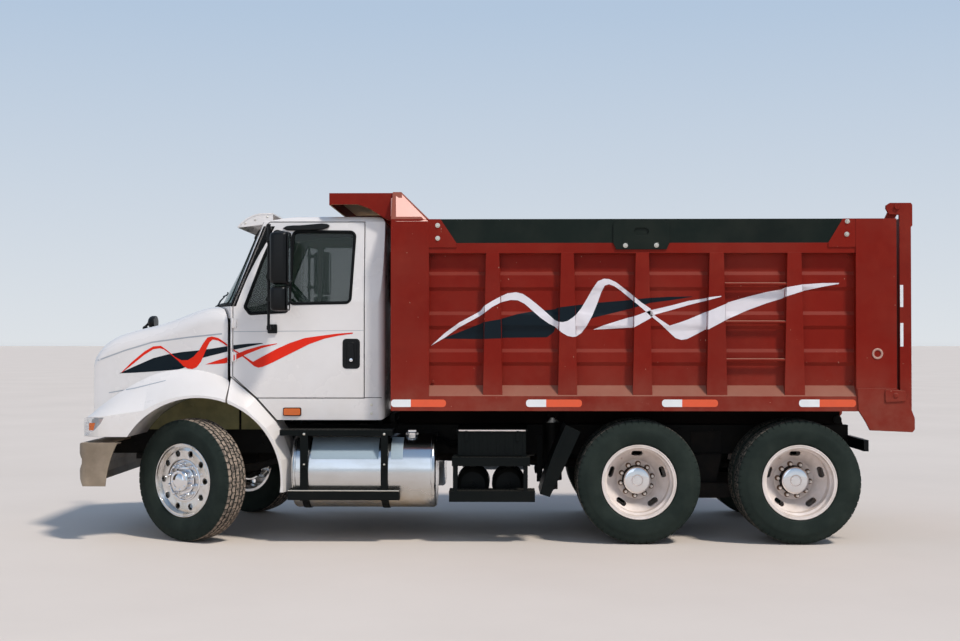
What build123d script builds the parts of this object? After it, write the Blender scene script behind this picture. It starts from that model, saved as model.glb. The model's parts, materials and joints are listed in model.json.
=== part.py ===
from build123d import *
import os
from math import radians, sin, cos, sqrt

# Dump truck, three axles, conventional cab.
# Millimetres. +X towards the tail, -Y the driver's (left) side, +Z up.
# Origin on the ground, under the middle of the whole truck.

os.makedirs("parts", exist_ok=True)

# ---- driving dimensions ----
SIDES = (("left", -1), ("right", 1))
FRONT_X = -2600                 # steered axle
DRIVE_X = (1283, 2683)          # tandem axles
TYRE_R, TYRE_W = 545, 280
WHEEL_Z = TYRE_R
KINGPIN_Y = 840                 # steering pivots
HUB_OUT = 190                   # wheel centre outboard of its pivot
STEER_REST = -30                # degrees about +Z, wheels turned to the right
ARM = 200                       # steering arm, pivot to tie rod
ARM_Z = 425
DUAL_Y = (760, 1080)            # centres of the twin tyres
DISC_Y = 920                    # where the twin rims meet
ARCH_R = 735                    # front wheel arch

RAIL_OUT, RAIL_IN = 430, 340    # frame rail, outer web and inner flange edge
RAIL_TOP, RAIL_BOT = 1000, 730
RAIL_X = (-3600, 3300)

HOOD_PIN = (-3620, 925)         # X, Z of the hood's hinge
BED_PIN = (3200, 1050)          # X, Z of the bed's hinge
GATE_PIN = (3530, 2955)         # X, Z of the tailgate's hinge
DOOR_PIN = (-2325, 1045)        # X, |Y| of the doors' hinges

CAB_Y = 1030                    # half width of the cab
CAB_REAR = -964
SCREEN_FOOT = (-2345, 2090)     # X, Z at the foot of the windscreen's pillars
SCREEN_RUN = (300, 760)         # X, Z run up to the roof
SCREEN_BOW = (285, 165)         # how far the windscreen bows forward, at its foot and at the roof
DOOR_GAP = 8

BED_FRONT, BED_REAR = -892, 3517
BED_IN, BED_OUT = 1150, 1250    # inner skin and outer face of the side posts
FLOOR_Z = 1350
BED_TOP = 2850

HOIST_X, HOIST_Y = 550, 530
HOIST_BASE_Z, HOIST_EYE_Z = 450, 1100

TANK_R, TANK_Y, TANK_Z = 330, 885, 620
TANK_X = (-1775, -500)


# ---- small helpers: each works inside the piece that is being built ----
def outline(points):
    """Closed outline. (x, y) is a straight run to that point,
    (xm, ym, x, y) an arc through (xm, ym) to (x, y)."""
    here = points[0][-2:]
    with BuildLine() as path:
        for p in list(points[1:]) + [points[0][-2:]]:
            if p[-2:] == here:
                continue
            if len(p) == 4:
                ThreePointArc(here, p[:2], p[2:])
            else:
                Line(here, p)
            here = p[-2:]
    make_face(path.edges())


def side_prism(points, y0, y1, mode=Mode.ADD, grow=0):
    """Side view (X, Z), pushed from y0 to y1."""
    with BuildSketch(Plane(origin=(0, max(y0, y1), 0), x_dir=(1, 0, 0), z_dir=(0, -1, 0))) as view:
        outline(points)
        if grow:
            offset(amount=grow, kind=Kind.INTERSECTION)
    extrude(view.sketch, amount=abs(y1 - y0), mode=mode)


def front_prism(points, x0, x1, mode=Mode.ADD):
    """Front view (Y, Z), pushed from x0 to x1."""
    with BuildSketch(Plane(origin=(min(x0, x1), 0, 0), x_dir=(0, 1, 0), z_dir=(1, 0, 0))) as view:
        outline(points)
    extrude(view.sketch, amount=abs(x1 - x0), mode=mode)


def plan_prism(points, z0, z1, mode=Mode.ADD):
    """Plan view (X, Y), pushed from z0 to z1."""
    with BuildSketch(Plane.XY.offset(min(z0, z1))) as view:
        outline(points)
    extrude(view.sketch, amount=abs(z1 - z0), mode=mode)


def block(x0, x1, y0, y1, z0, z1, mode=Mode.ADD):
    with BuildSketch(Plane.XY.offset(min(z0, z1))) as view:
        with Locations(((x0 + x1) / 2, (y0 + y1) / 2)):
            Rectangle(abs(x1 - x0), abs(y1 - y0))
    extrude(view.sketch, amount=abs(z1 - z0), mode=mode)


def both_blocks(x0, x1, y0, y1, z0, z1, mode=Mode.ADD):
    """The same block on the right and on the left."""
    for name, s in SIDES:
        block(x0, x1, s * y0, s * y1, z0, z1, mode=mode)


def rod(start, end, radius, mode=Mode.ADD):
    a, b = Vector(*start), Vector(*end)
    with BuildSketch(Plane(origin=a, z_dir=(b - a).normalized())) as section:
        Circle(radius)
    extrude(section.sketch, amount=(b - a).length, mode=mode)


def turned(centre, axis, *profiles, mode=Mode.ADD):
    """Outlines in (distance along the axis, radius), turned about the axis as one."""
    a = Vector(*axis).normalized()
    up = Vector(0, 0, 1) if abs(a.Z) < 0.5 else Vector(1, 0, 0)
    with BuildSketch(Plane(origin=Vector(*centre), x_dir=a, z_dir=a.cross(up))) as profile:
        for points in profiles:
            outline(points)
    revolve(profile.sketch, axis=Axis(Vector(*centre), a), revolution_arc=360, mode=mode)


def band(a0, a1, r0, r1):
    """Profile of a plain ring."""
    return [(a0, r0), (a1, r0), (a1, r1), (a0, r1)]


def keep(piece, name):
    piece.part.label = name
    export_step(piece.part, f"parts/{name}.step")


def keep_all(name, *pieces):
    """One node of several solids that lie face to face."""
    group = Compound([solid for piece in pieces for solid in piece.part.solids()])
    group.label = name
    export_step(group, f"parts/{name}.step")


# =====================================================================
# CHASSIS
# =====================================================================
CROSS_X = (-3500, -1300, 200, 800, 1983, 3220)
COUPLING = (160, 100, 10.5, 44)     # bolt spacing Y, Z, hole radius, centre hole radius
COUPLING_Z = 865

with BuildPart() as ladder_frame:
    for name, s in SIDES:
        block(*RAIL_X, s * (RAIL_OUT - 12), s * RAIL_OUT, RAIL_BOT, RAIL_TOP)
        block(*RAIL_X, s * RAIL_IN, s * (RAIL_OUT - 6), RAIL_TOP - 12, RAIL_TOP)
        block(*RAIL_X, s * RAIL_IN, s * (RAIL_OUT - 6), RAIL_BOT, RAIL_BOT + 12)
    for name, s in SIDES:
        # bed hinge: bracket on the rail, shaft and end cap
        side_prism([(3135, 1000), (3265, 1000), (3238, 1078), (3200, 1094, 3162, 1078)], s * 345, s * 385)
        rod((BED_PIN[0], s * 350, BED_PIN[1]), (BED_PIN[0], s * 446, BED_PIN[1]), 28)
        rod((BED_PIN[0], s * 436, BED_PIN[1]), (BED_PIN[0], s * 448, BED_PIN[1]), 38)
        # hood hinge: the web runs forward, with a pin
        block(-3650, -3590, s * 418, s * 430, 885, 965)
        rod((HOOD_PIN[0], s * 420, HOOD_PIN[1]), (HOOD_PIN[0], s * 530, HOOD_PIN[1]), 14)
        rod((HOOD_PIN[0], s * 525, HOOD_PIN[1]), (HOOD_PIN[0], s * 532, HOOD_PIN[1]), 22)
        # cab mounts
        for x in (-1850, -1060):
            rod((x, s * 385, 990), (x, s * 385, 1077), 42)
        # hoist hangers outside the rails, with the hoist's pivots
        block(500, 600, s * 430, s * 444, 400, 930)
        block(500, 600, s * 424, s * 436, 760, 930)
        rod((HOIST_X, s * 440, HOIST_BASE_Z), (HOIST_X, s * 574, HOIST_BASE_Z), 25)
        rod((HOIST_X, s * 566, HOIST_BASE_Z), (HOIST_X, s * 580, HOIST_BASE_Z), 40)
keep(ladder_frame, "ladder_frame")

MEMBER = [(-32, 790), (32, 790), (32, 800), (5, 800), (5, 950), (32, 950), (32, 960), (-32, 960), (-32, 950), (-5, 950),
          (-5, 800), (-32, 800)]
members = []
for x in CROSS_X:
    with BuildPart() as member:
        side_prism([(x + a, z) for a, z in MEMBER], -(RAIL_OUT - 12), RAIL_OUT - 12)
    members.append(member)
with BuildPart() as hoist_shaft:
    rod((HOIST_X, -430, HOIST_BASE_Z), (HOIST_X, 430, HOIST_BASE_Z), 25)
with BuildPart() as rear_plate:
    # fits inside the rails' webs and flanges, with the coupling's holes
    block(3286, 3300, -(RAIL_OUT - 12), RAIL_OUT - 12, RAIL_BOT + 12, RAIL_TOP - 12)
    with BuildSketch(Plane(origin=(3280, 0, COUPLING_Z), x_dir=(0, 1, 0), z_dir=(1, 0, 0))) as holes:
        with GridLocations(COUPLING[0], COUPLING[1], 2, 2):
            Circle(COUPLING[2])
        Circle(COUPLING[3])
    extrude(holes.sketch, amount=30, mode=Mode.SUBTRACT)
keep_all("cross_members", *members, hoist_shaft, rear_plate)

with BuildPart() as front_axle:
    front_prism([(-800, 500), (-700, 500), (-560, 430), (560, 430), (700, 500), (800, 500),
                 (800, 590), (690, 590), (540, 520), (-540, 520), (-690, 590), (-800, 590)],
                FRONT_X - 45, FRONT_X + 45)
    for name, s in SIDES:
        rod((FRONT_X, s * KINGPIN_Y, 470), (FRONT_X, s * KINGPIN_Y, 620), 45)
    for name, s in SIDES:
        rod((FRONT_X, s * KINGPIN_Y, 460), (FRONT_X, s * KINGPIN_Y, 630), 22.08, mode=Mode.SUBTRACT)
keep(front_axle, "front_axle")

with BuildPart() as leaf_springs:
    for name, s in SIDES:
        side_prism([(-3300, 690), (-2600, 526, -1900, 690), (-1900, 722), (-2600, 604, -3300, 722)],
                   s * 380, s * 460)
        block(-2670, -2530, s * 380, s * 460, 520, 640)
        for x in (-3300, -1900):
            block(x - 45, x + 45, s * 380, s * 460, 680, RAIL_BOT)
keep(leaf_springs, "leaf_springs")

# drive axles: housing, pinion nose, spindles, backing plates and beam seats
with BuildPart() as rear_axles:
    for x in DRIVE_X:
        turned((x, 0, WHEEL_Z), (0, 1, 0), [(-640, 0), (-640, 70), (-260, 70), (-200, 110), (0, 205, 200, 110),
                                            (260, 70), (640, 70), (640, 0)])
        nose = 340 if x == DRIVE_X[0] else 300
        rod((x - nose, 0, 600), (x, 0, 600), 95)
        for name, s in SIDES:
            rod((x, s * 600, WHEEL_Z), (x, s * 935, WHEEL_Z), 70)
            rod((x, s * 622, WHEEL_Z), (x, s * 634, WHEEL_Z), 185)
            block(x - 60, x + 60, s * 480, s * 560, 470, 540)
    rod((DRIVE_X[0], 0, 600), (DRIVE_X[0] + 250, 0, 600), 62)
keep(rear_axles, "rear_axles")

with BuildPart() as rear_suspension:
    mid = (DRIVE_X[0] + DRIVE_X[1]) / 2
    for name, s in SIDES:
        side_prism([(DRIVE_X[0] - 85, 405), (mid - 110, 335), (mid + 110, 335), (DRIVE_X[1] + 85, 405),
                    (DRIVE_X[1] + 85, 470), (DRIVE_X[0] - 85, 470)], s * 480, s * 560)
        side_prism([(mid - 140, RAIL_BOT), (mid + 140, RAIL_BOT), (mid + 62, 372), (mid - 62, 372)],
                   s * 400, s * 484)
        block(mid - 140, mid + 140, s * 430, s * 442, 700, 940)
    rod((mid, -500, 420), (mid, 500, 420), 48)
keep(rear_suspension, "rear_suspension")

with BuildPart() as engine_block:
    block(-3300, -2400, -300, 300, 640, 1560)
    block(-2410, -2250, -260, 260, 620, 1040)
    side_prism([(-2260, 630), (-1500, 660), (-1500, 900), (-1700, 980), (-2260, 1030)], -200, 200)
    for name, s in SIDES:
        block(-2900, -2800, s * 295, s * 418, 760, 830)
        block(-1660, -1600, s * 195, s * 418, 760, 800)
keep(engine_block, "engine_block")

with BuildPart() as driveline:
    rod((-1500, 0, 720), (-1468, 0, 720), 80)
    rod((-1480, 0, 720), (925, 0, 600), 45)
    rod((DRIVE_X[0] - 372, 0, 600), (DRIVE_X[0] - 340, 0, 600), 85)
    rod((DRIVE_X[0] + 250, 0, 600), (DRIVE_X[1] - 300, 0, 600), 40)
    rod((DRIVE_X[0] + 250, 0, 600), (DRIVE_X[0] + 280, 0, 600), 60)
    rod((DRIVE_X[1] - 330, 0, 600), (DRIVE_X[1] - 300, 0, 600), 85)
keep(driveline, "driveline")

with BuildPart() as radiator:
    block(-3480, -3380, -420, 420, RAIL_TOP, 1650)
    block(-3500, -3360, -440, 440, 1560, 1600, mode=Mode.ADD)
    rod((-3390, 0, 1300), (-3340, 0, 1300), 290)
keep(radiator, "radiator")

# bumper: bent sheet, open at the back
BUMPER_SIDE = [(-3640, 882), (-3310, 882), (-3380, 700, -3415, 500), (-3620, 500), (-3648, 560), (-3655, 640),
               (-3628, 700), (-3628, 740), (-3665, 800), (-3665, 862)]
BUMPER_HOLLOW = [(-3630, 870), (-3250, 870), (-3350, 488), (-3606, 488), (-3636, 560), (-3643, 640),
                 (-3616, 696), (-3616, 744), (-3653, 804), (-3653, 858)]
BUMPER_PLAN = [(-3665, -1110), (-3638, -1176, -3572, -1200), (-3200, -1200), (-3200, 1200), (-3572, 1200),
               (-3638, 1176, -3665, 1110)]
BUMPER_PLAN_IN = [(-3665, -1098), (-3630, -1162, -3566, -1188), (-3190, -1188), (-3190, 1188), (-3566, 1188),
                  (-3630, 1162, -3665, 1098)]
with BuildPart() as bumper_room:
    side_prism(BUMPER_HOLLOW, -1188, 1188)
    plan_prism(BUMPER_PLAN_IN, 400, 900, mode=Mode.INTERSECT)
with BuildPart() as bumper:
    side_prism(BUMPER_SIDE, -1200, 1200)
    plan_prism(BUMPER_PLAN, 400, 900, mode=Mode.INTERSECT)
    add(bumper_room.part, mode=Mode.SUBTRACT)
    block(-3400, -3200, -1070, 1070, 400, 900, mode=Mode.SUBTRACT)
    for name, s in SIDES:
        block(-3640, -3600, s * 345, s * 425, 750, 860)
    block(-3606, -3200, -446, 446, 861, 900, mode=Mode.SUBTRACT)
keep(bumper, "bumper")

# fuel tanks, both sides
with BuildPart() as fuel_tanks:
    for name, s in SIDES:
        turned((TANK_X[0], s * TANK_Y, TANK_Z), (1, 0, 0),
               [(0, 0), (0, 296), (10, 320, 34, TANK_R), (TANK_X[1] - TANK_X[0] - 34, TANK_R),
                (TANK_X[1] - TANK_X[0] - 10, 320, TANK_X[1] - TANK_X[0], 296), (TANK_X[1] - TANK_X[0], 0)])
        rod((-720, s * 985, 900), (-720, s * 985, 962), 46)
keep(fuel_tanks, "fuel_tanks")

with BuildPart() as tank_steps:
    for name, s in SIDES:
        for x in (-1655, -950):
            turned((x, s * TANK_Y, TANK_Z), (1, 0, 0), band(-32, 32, TANK_R - 6, TANK_R + 8))
            block(x - 32, x + 32, s * RAIL_OUT, s * 680, 760, 900)
        block(-1871, -879, s * 1000, s * 1220, 950, 1000)
        block(-1796, -816, s * 1080, s * 1240, 388, 474)
        for x0, x1 in ((-1690, -1620), (-980, -920)):
            block(x0, x1, s * 1216, s * 1228, 380, 990)
            block(x0, x1, s * 940, s * 1010, 925, 975)
        rod((TANK_X[0] - 20, s * TANK_Y, TANK_Z), (TANK_X[1] + 20, s * TANK_Y, TANK_Z), TANK_R, mode=Mode.SUBTRACT)
keep(tank_steps, "tank_steps")

with BuildPart() as battery_box:
    block(-307, 294, -1150, -500, 770, 985)
    block(-320, 307, -1162, -490, 985, 1003)
    block(-307, 294, -505, -RAIL_OUT, 800, 950)
    for x0, x1, z0, z1 in ((-357, 328, 686, 763), (-382, 371, 373, 468)):
        block(x0, x1, -1220, -975, z0, z1)
        block(x0 + 20, x1 - 20, -1200, -995, z0 - 1, z1 - 14, mode=Mode.SUBTRACT)
    for x in (-330, 290):
        block(x - 18, x + 18, -1214, -1196, 373, 763)
        block(x - 18, x + 18, -1000, -985, 440, 763)
        block(min(x, 280) - 18, min(x, 280) + 18, -1150, -985, 700, 775)
keep(battery_box, "battery_box")

with BuildPart() as air_tanks:
    for x in (-180, 140):
        turned((x, -965, 500), (0, 1, 0), [(0, 0), (12, 110), (40, 140), (60, 146), (405, 146), (425, 140),
                                           (453, 110), (465, 0)])
        for y in (-880, -600):
            block(x - 25, x + 25, y - 20, y + 20, 630, 770)
keep(air_tanks, "air_tanks")

with BuildPart() as muffler:
    turned((-330, 700, 620), (1, 0, 0), [(0, 0), (0, 100), (18, 150), (640, 150), (658, 100), (658, 0)])
    rod((-470, 700, 620), (-320, 700, 620), 60)
    rod((320, 700, 620), (420, 700, 620), 60)
    for x in (-200, 200):
        block(x - 25, x + 25, RAIL_OUT, 700, 760, 800)
        block(x - 25, x + 25, 670, 730, 740, 800)
keep(muffler, "muffler")

with BuildPart() as quarter_fenders:
    for name, s in SIDES:
        side_prism([(643, 1045), (511, 740, 415, 441), (428, 438), (523, 736, 655, 1040)], s * 625, s * 1200)
        side_prism([(643, 1045), (511, 740, 415, 441), (500, 415), (640, 700, 770, 985)], s * 1190, s * 1200)
        block(405, 460, s * RAIL_OUT, s * 442, 470, 900)
        rod((443, s * 436, 500), (443, s * 640, 500), 15)
keep(quarter_fenders, "quarter_fenders")

with BuildPart() as rear_light_bars:
    for name, s in SIDES:
        block(3300, 3342, s * 330, s * 980, 800, 900)
        block(3312, 3342, s * 345, s * 965, 812, 888, mode=Mode.SUBTRACT)
        block(3300, 3306, s * 345, s * 965, 812, 888)
        for y in (460, 660, 860):
            rod((3304, s * y, 850), (3340, s * y, 850), 36 if y < 800 else 30)
keep(rear_light_bars, "rear_light_bars")

# =====================================================================
# WHEELS
# =====================================================================
TYRE = [(-102, 313), (102, 313), (102, 327), (120, 335), (140, 425, 122, 512), (112, 536), (0, TYRE_R, -112, 536),
        (-122, 512), (-140, 425, -120, 335), (-102, 327)]
BARREL = [(-118, 325), (-106, 325), (-106, 312), (-60, 308), (-50, 290), (50, 290), (60, 308), (106, 312),
          (106, 325), (118, 325), (118, 300), (62, 294), (52, 276), (-52, 276), (-62, 294), (-118, 300)]
FRONT_DISC = [(88, 303), (98, 262), (92, 200), (92, 60), (70, 60), (70, 200), (74, 258), (64, 303)]


def spin(side):
    """Outward direction of a steered wheel's axle at rest."""
    return (-side * sin(radians(STEER_REST)), side * cos(radians(STEER_REST)), 0)


def rearward():
    """Direction of a steering arm at rest."""
    return (cos(radians(STEER_REST)), sin(radians(STEER_REST)), 0)


def pivot(side, out=0.0, back=0.0, z=0.0):
    """A place given from a steering pivot: outboard and rearward in the turned wheel's frame."""
    a, b = spin(side), rearward()
    return (FRONT_X + a[0] * out + b[0] * back, side * KINGPIN_Y + a[1] * out + b[1] * back, z)


for name, s in SIDES:
    a, c = spin(s), pivot(s, HUB_OUT, 0, WHEEL_Z)
    with BuildPart() as front_tyre:
        turned(c, a, TYRE)
    keep(front_tyre, f"front_tyre_{name}")
    with BuildPart() as front_rim:
        # barrel, disc, hub, two bearings, brake drum and hub cover
        turned(c, a, BARREL, FRONT_DISC, band(-60, 92, 48, 85), band(-50, -22, 42.08, 52), band(60, 88, 42.08, 52),
               band(20, 36, 84, 205), band(-100, 30, 190, 205),
               [(90, 50), (90, 98), (158, 98), (168, 88), (168, 0), (156, 0), (156, 50)])
        with BuildSketch(Plane(origin=c, x_dir=(0, 0, 1), z_dir=a)) as hand_holes:
            with PolarLocations(245, 10, start_angle=18):
                Circle(27)
        extrude(hand_holes.sketch.moved(Location(Vector(*a) * 40)), amount=80, mode=Mode.SUBTRACT)
    keep(front_rim, f"front_rim_{name}")

    with BuildPart() as knuckle:
        frame = Plane(origin=pivot(s, 0, 0, 0), x_dir=rearward(), z_dir=(0, 0, 1))
        out = s                       # local +Y of that plane points to +Y turned, outboard on the right
        for z0, z1 in ((395, 460), (630, 695)):
            with BuildSketch(frame.offset(z0)) as yoke:
                Circle(50)
                with Locations((0, out * 35)):
                    Rectangle(100, 72)
            extrude(yoke.sketch, amount=z1 - z0)
        with BuildSketch(frame.offset(395)) as upright:
            with Locations((0, out * 68)):
                Rectangle(120, 18)
        extrude(upright.sketch, amount=300)
        rod(pivot(s, 0, 0, 400), pivot(s, 0, 0, 690), 22)
        rod(pivot(s, 60, 0, WHEEL_Z), pivot(s, HUB_OUT + 112, 0, WHEEL_Z), 42)
        rod(pivot(s, 71, 0, WHEEL_Z), pivot(s, 80, 0, WHEEL_Z), 185)
        # steering arm, with the tie rod's bore
        with BuildSketch(frame.offset(412)) as arm:
            with Locations((ARM / 2, 0)):
                Rectangle(ARM, 44)
            with Locations((ARM, 0)):
                Circle(30)
        extrude(arm.sketch, amount=26)
        rod(pivot(s, 0, ARM, 400), pivot(s, 0, ARM, 450), 12.05, mode=Mode.SUBTRACT)
    keep(knuckle, f"knuckle_{name}")

with BuildPart() as tie_rod:
    ends = [pivot(s, 0, ARM, 0) for name, s in SIDES]
    rod((ends[0][0], ends[0][1], 470), (ends[1][0], ends[1][1], 470), 20)
    for e in ends:
        rod((e[0], e[1], 402), (e[0], e[1], 470), 12)
        rod((e[0], e[1], 445), (e[0], e[1], 495), 27)
        rod((e[0], e[1], 398), (e[0], e[1], 406), 18)
keep(tie_rod, "tie_rod")

# twin rear wheels; lengths along the axle are |Y|
REAR_DISC = [(1028, 284), (1044, 284), (1000, 235), (950, 190), (934, 175), (934, 108), (920, 108), (920, 180),
             (936, 200), (985, 242)]
for axle, x in zip(("front", "rear"), DRIVE_X):
    for name, s in SIDES:
        c, a = (x, 0, WHEEL_Z), (0, s, 0)
        with BuildPart() as tyres:
            for y in DUAL_Y:
                turned((x, s * y, WHEEL_Z), a, TYRE)
        keep(tyres, f"{axle}_dual_tyres_{name}")
        with BuildPart() as rims:
            barrels = [[(y + p, r) for p, r in BARREL] for y in DUAL_Y]
            turned(c, a, *barrels, REAR_DISC, [(2 * DISC_Y - p, r) for p, r in REAR_DISC], band(760, 960, 75, 110),
                   band(768, 796, 70.08, 80), band(900, 928, 70.08, 80), band(800, 816, 105, 212),
                   band(640, 805, 195, 212),
                   [(940, 0), (940, 112), (950, 118), (962, 118), (966, 108), (1022, 108), (1032, 98),
                    (1032, 60), (1040, 52), (1040, 0)])
            with BuildSketch(Plane(origin=(x, s * 830, WHEEL_Z), x_dir=(0, 0, 1), z_dir=a)) as slots:
                with PolarLocations(238, 5):
                    SlotOverall(100, 44, rotation=90)
            extrude(slots.sketch, amount=200, mode=Mode.SUBTRACT)
        keep(rims, f"{axle}_dual_rims_{name}")

# =====================================================================
# CAB
# =====================================================================
CAB_SIDE = [(CAB_REAR, 1110), (CAB_REAR, 2828), (-984.5, 2877.5, -1034, 2898), (-1500, 2922, -2045, 2852),
            SCREEN_FOOT, (-2345, 1468), (-2106, 1276), (-1926, 1077), (-1000, 1077), (-976, 1085), (CAB_REAR, 1110)]
CAB_FRONT = [(1030, 1000), (1030, 2130), (973, 2850), (949, 2885, 893, 2902), (0, 2925, -893, 2902),
             (-949, 2885, -973, 2850), (-1030, 2130), (-1030, 1000)]
CAB_PLAN = [(-2700, -1030), (-1034, -1030), (-984.5, -1009.5, CAB_REAR, -960), (CAB_REAR, 960),
            (-984.5, 1009.5, -1034, 1030), (-2700, 1030)]
ROOM_SIDE = [(-1014, 1130), (-1014, 2845), (-1500, 2870, -2010, 2803), (-2295, 2080), (-2295, 1492), (-2072, 1312),
             (-1906, 1130)]
ROOM_FRONT = [(980, 1130), (980, 2126), (925, 2810), (880, 2850), (0, 2872, -880, 2850), (-925, 2810), (-980, 2126),
              (-980, 1130)]
DOOR = [(-2320, 1468), (-2320, 2085), (-2030, 2820), (-1998, 2846), (-1151, 2846), (-1151, 1276), (-2106, 1276)]
DOOR_SIDE = ((978, 2126), (920, 2850))       # |Y|, Z along the door's inner face
VENT = [(-2212, 2087), (-2170, 2030), (-1840, 2050), (-1840, 2740), (-1950, 2765), (-2065, 2490)]
MAIN_WINDOW = [(-1785, 2760), (-1240, 2755), (-1280, 2130), (-1815, 2120)]
SCREEN_HOLE = [(-915, 2122), (-850, 2740), (850, 2740), (915, 2122)]
REAR_HOLE = (450, 2150, 2600)


def bow(shift, z, half=1000):
    """Plan of the bowed windscreen at one height, its chord moved back by shift."""
    k = max(0, (z - SCREEN_FOOT[1]) / SCREEN_RUN[1])
    x = SCREEN_FOOT[0] + shift + k * SCREEN_RUN[0]
    depth = SCREEN_BOW[0] + (SCREEN_BOW[1] - SCREEN_BOW[0]) * k
    with BuildSketch(Plane.XY.offset(z)) as view:
        outline([(x, -half), (x - depth, 0, x, half)])
    return view.sketch


def bowed(shift, z0, z1, mode=Mode.ADD):
    """Block behind the bowed windscreen from one height to another."""
    loft([bow(shift, z0).faces()[0], bow(shift, z1).faces()[0]], ruled=True, mode=mode)


def rounded(points, plane_of, radius):
    with BuildSketch(plane_of) as view:
        outline(points)
        fillet(view.vertices(), radius)
    return view.sketch


SIDE_PLANE = Plane(origin=(0, 1100, 0), x_dir=(1, 0, 0), z_dir=(0, -1, 0))
NOSE_PLANE = Plane(origin=(-2700, 0, 0), x_dir=(0, 1, 0), z_dir=(1, 0, 0))


def door_blank(s, grow):
    """Block that the door of one side is cut out with; grow widens it all round."""
    (y0, z0), (y1, z1) = DOOR_SIDE
    with BuildPart() as blank:
        side_prism(DOOR, s * 850, s * 1100, grow=grow)
        front_prism([(s * (y0 - grow), 1200), (s * (y0 - grow), z0), (s * (y1 - grow), z1 + 20), (s * 1110, z1 + 20),
                     (s * 1110, 1200)], -2400, -1100, mode=Mode.INTERSECT)
    return blank.part


with BuildPart() as cab_room:
    side_prism(ROOM_SIDE, -980, 980)
    bowed(54, 2090, 2803)
    front_prism(ROOM_FRONT, -2700, -900, mode=Mode.INTERSECT)

with BuildPart() as cab_walls:
    side_prism(CAB_SIDE, -CAB_Y, CAB_Y)
    bowed(0, SCREEN_FOOT[1], SCREEN_FOOT[1] + SCREEN_RUN[1])
    extrude(bow(0, 1985), amount=SCREEN_FOOT[1] - 1985)
    front_prism(CAB_FRONT, -2700, -900, mode=Mode.INTERSECT)
    plan_prism(CAB_PLAN, 900, 3000, mode=Mode.INTERSECT)
    add(cab_room.part, mode=Mode.SUBTRACT)

with BuildPart() as cab_shell:
    add(cab_walls.part)
    for name, s in SIDES:
        add(door_blank(s, DOOR_GAP), mode=Mode.SUBTRACT)
    extrude(rounded(SCREEN_HOLE, NOSE_PLANE, 70), amount=700, mode=Mode.SUBTRACT)
    with BuildSketch(Plane(origin=(-1050, 0, 0), x_dir=(0, 1, 0), z_dir=(1, 0, 0))) as back_light:
        with Locations((0, (REAR_HOLE[1] + REAR_HOLE[2]) / 2)):
            RectangleRounded(2 * REAR_HOLE[0], REAR_HOLE[2] - REAR_HOLE[1], 50)
    extrude(back_light.sketch, amount=120, mode=Mode.SUBTRACT)
keep(cab_shell, "cab_shell")

with BuildPart() as cab_windows:
    bowed(20, SCREEN_FOOT[1], SCREEN_FOOT[1] + SCREEN_RUN[1])
    bowed(26, SCREEN_FOOT[1], SCREEN_FOOT[1] + SCREEN_RUN[1], mode=Mode.SUBTRACT)
    extrude(rounded(SCREEN_HOLE, NOSE_PLANE, 70), amount=700, mode=Mode.INTERSECT)
    with BuildSketch(Plane(origin=(-992, 0, 0), x_dir=(0, 1, 0), z_dir=(1, 0, 0))) as back_pane:
        with Locations((0, (REAR_HOLE[1] + REAR_HOLE[2]) / 2)):
            RectangleRounded(2 * REAR_HOLE[0], REAR_HOLE[2] - REAR_HOLE[1], 50)
    extrude(back_pane.sketch, amount=6)
keep(cab_windows, "cab_windows")

with BuildPart() as dashboard:
    side_prism([(-2295, 1700), (-2295, 2070), (-2150, 2096), (-1960, 2050), (-1935, 1960), (-2040, 1760)], -920, 920)
    rod((-2060, -500, 1982), (-1850, -500, 2158), 30)
keep(dashboard, "dashboard")

WHEEL_C = (-1800, -500, 2200)      # steering wheel centre
WHEEL_A = (0.766, 0, 0.643)        # its axis, towards the driver
with BuildPart() as steering_wheel:
    turned(WHEEL_C, WHEEL_A, [(-16, 214), (-11.3, 225.3, 0, 230), (11.3, 225.3, 16, 214), (11.3, 202.7, 0, 198),
                              (-11.3, 202.7, -16, 214)])
    turned(WHEEL_C, WHEEL_A, [(-44, 0), (-44, 40), (-10, 62), (4, 62), (10, 50), (10, 0)])
    wheel_plane = Plane(origin=WHEEL_C, x_dir=(0, 1, 0), z_dir=WHEEL_A)
    with BuildSketch(wheel_plane.offset(-8)) as spokes:
        for angle in (0, 180, -90 if wheel_plane.y_dir.Z > 0 else 90):
            with Locations(Location((0, 0, 0), (0, 0, angle))):
                with Locations((125, 0)):
                    Rectangle(160, 34)
    extrude(spokes.sketch, amount=12)
keep(steering_wheel, "steering_wheel")

with BuildPart() as seat_bases:
    for name, s in SIDES:
        side_prism([(-1560, 1130), (-1180, 1130), (-1210, 1500), (-1530, 1500)], s * 340, s * 680)
keep(seat_bases, "seat_bases")

with BuildPart() as seat_cushions:
    for name, s in SIDES:
        side_prism([(-1640, 1505), (-1150, 1500), (-1120, 1640), (-1600, 1650), (-1650, 1600)], s * 270, s * 750)
        side_prism([(-1180, 1600), (-1060, 1500), (-1018, 2360), (-1060, 2460), (-1110, 2440)], s * 280, s * 740)
keep(seat_cushions, "seat_cushions")

# outside sun visor over the windscreen
with BuildPart() as sun_visor:
    side_prism([(-2314, 2812), (-2222, 2895, -2110, 2937), (-1985, 2939), (-1985, 2925), (-2107, 2923),
                (-2214, 2883, -2303, 2803)], -900, 900)
    for name, s in SIDES:
        side_prism([(-2306, 2808), (-2217, 2888, -2108, 2930), (-1990, 2932), (-1990, 2840), (-2043, 2846),
                    (-2110, 2829)], s * 884, s * 898)
    add(cab_walls.part, mode=Mode.SUBTRACT)
keep(sun_visor, "sun_visor")

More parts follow.
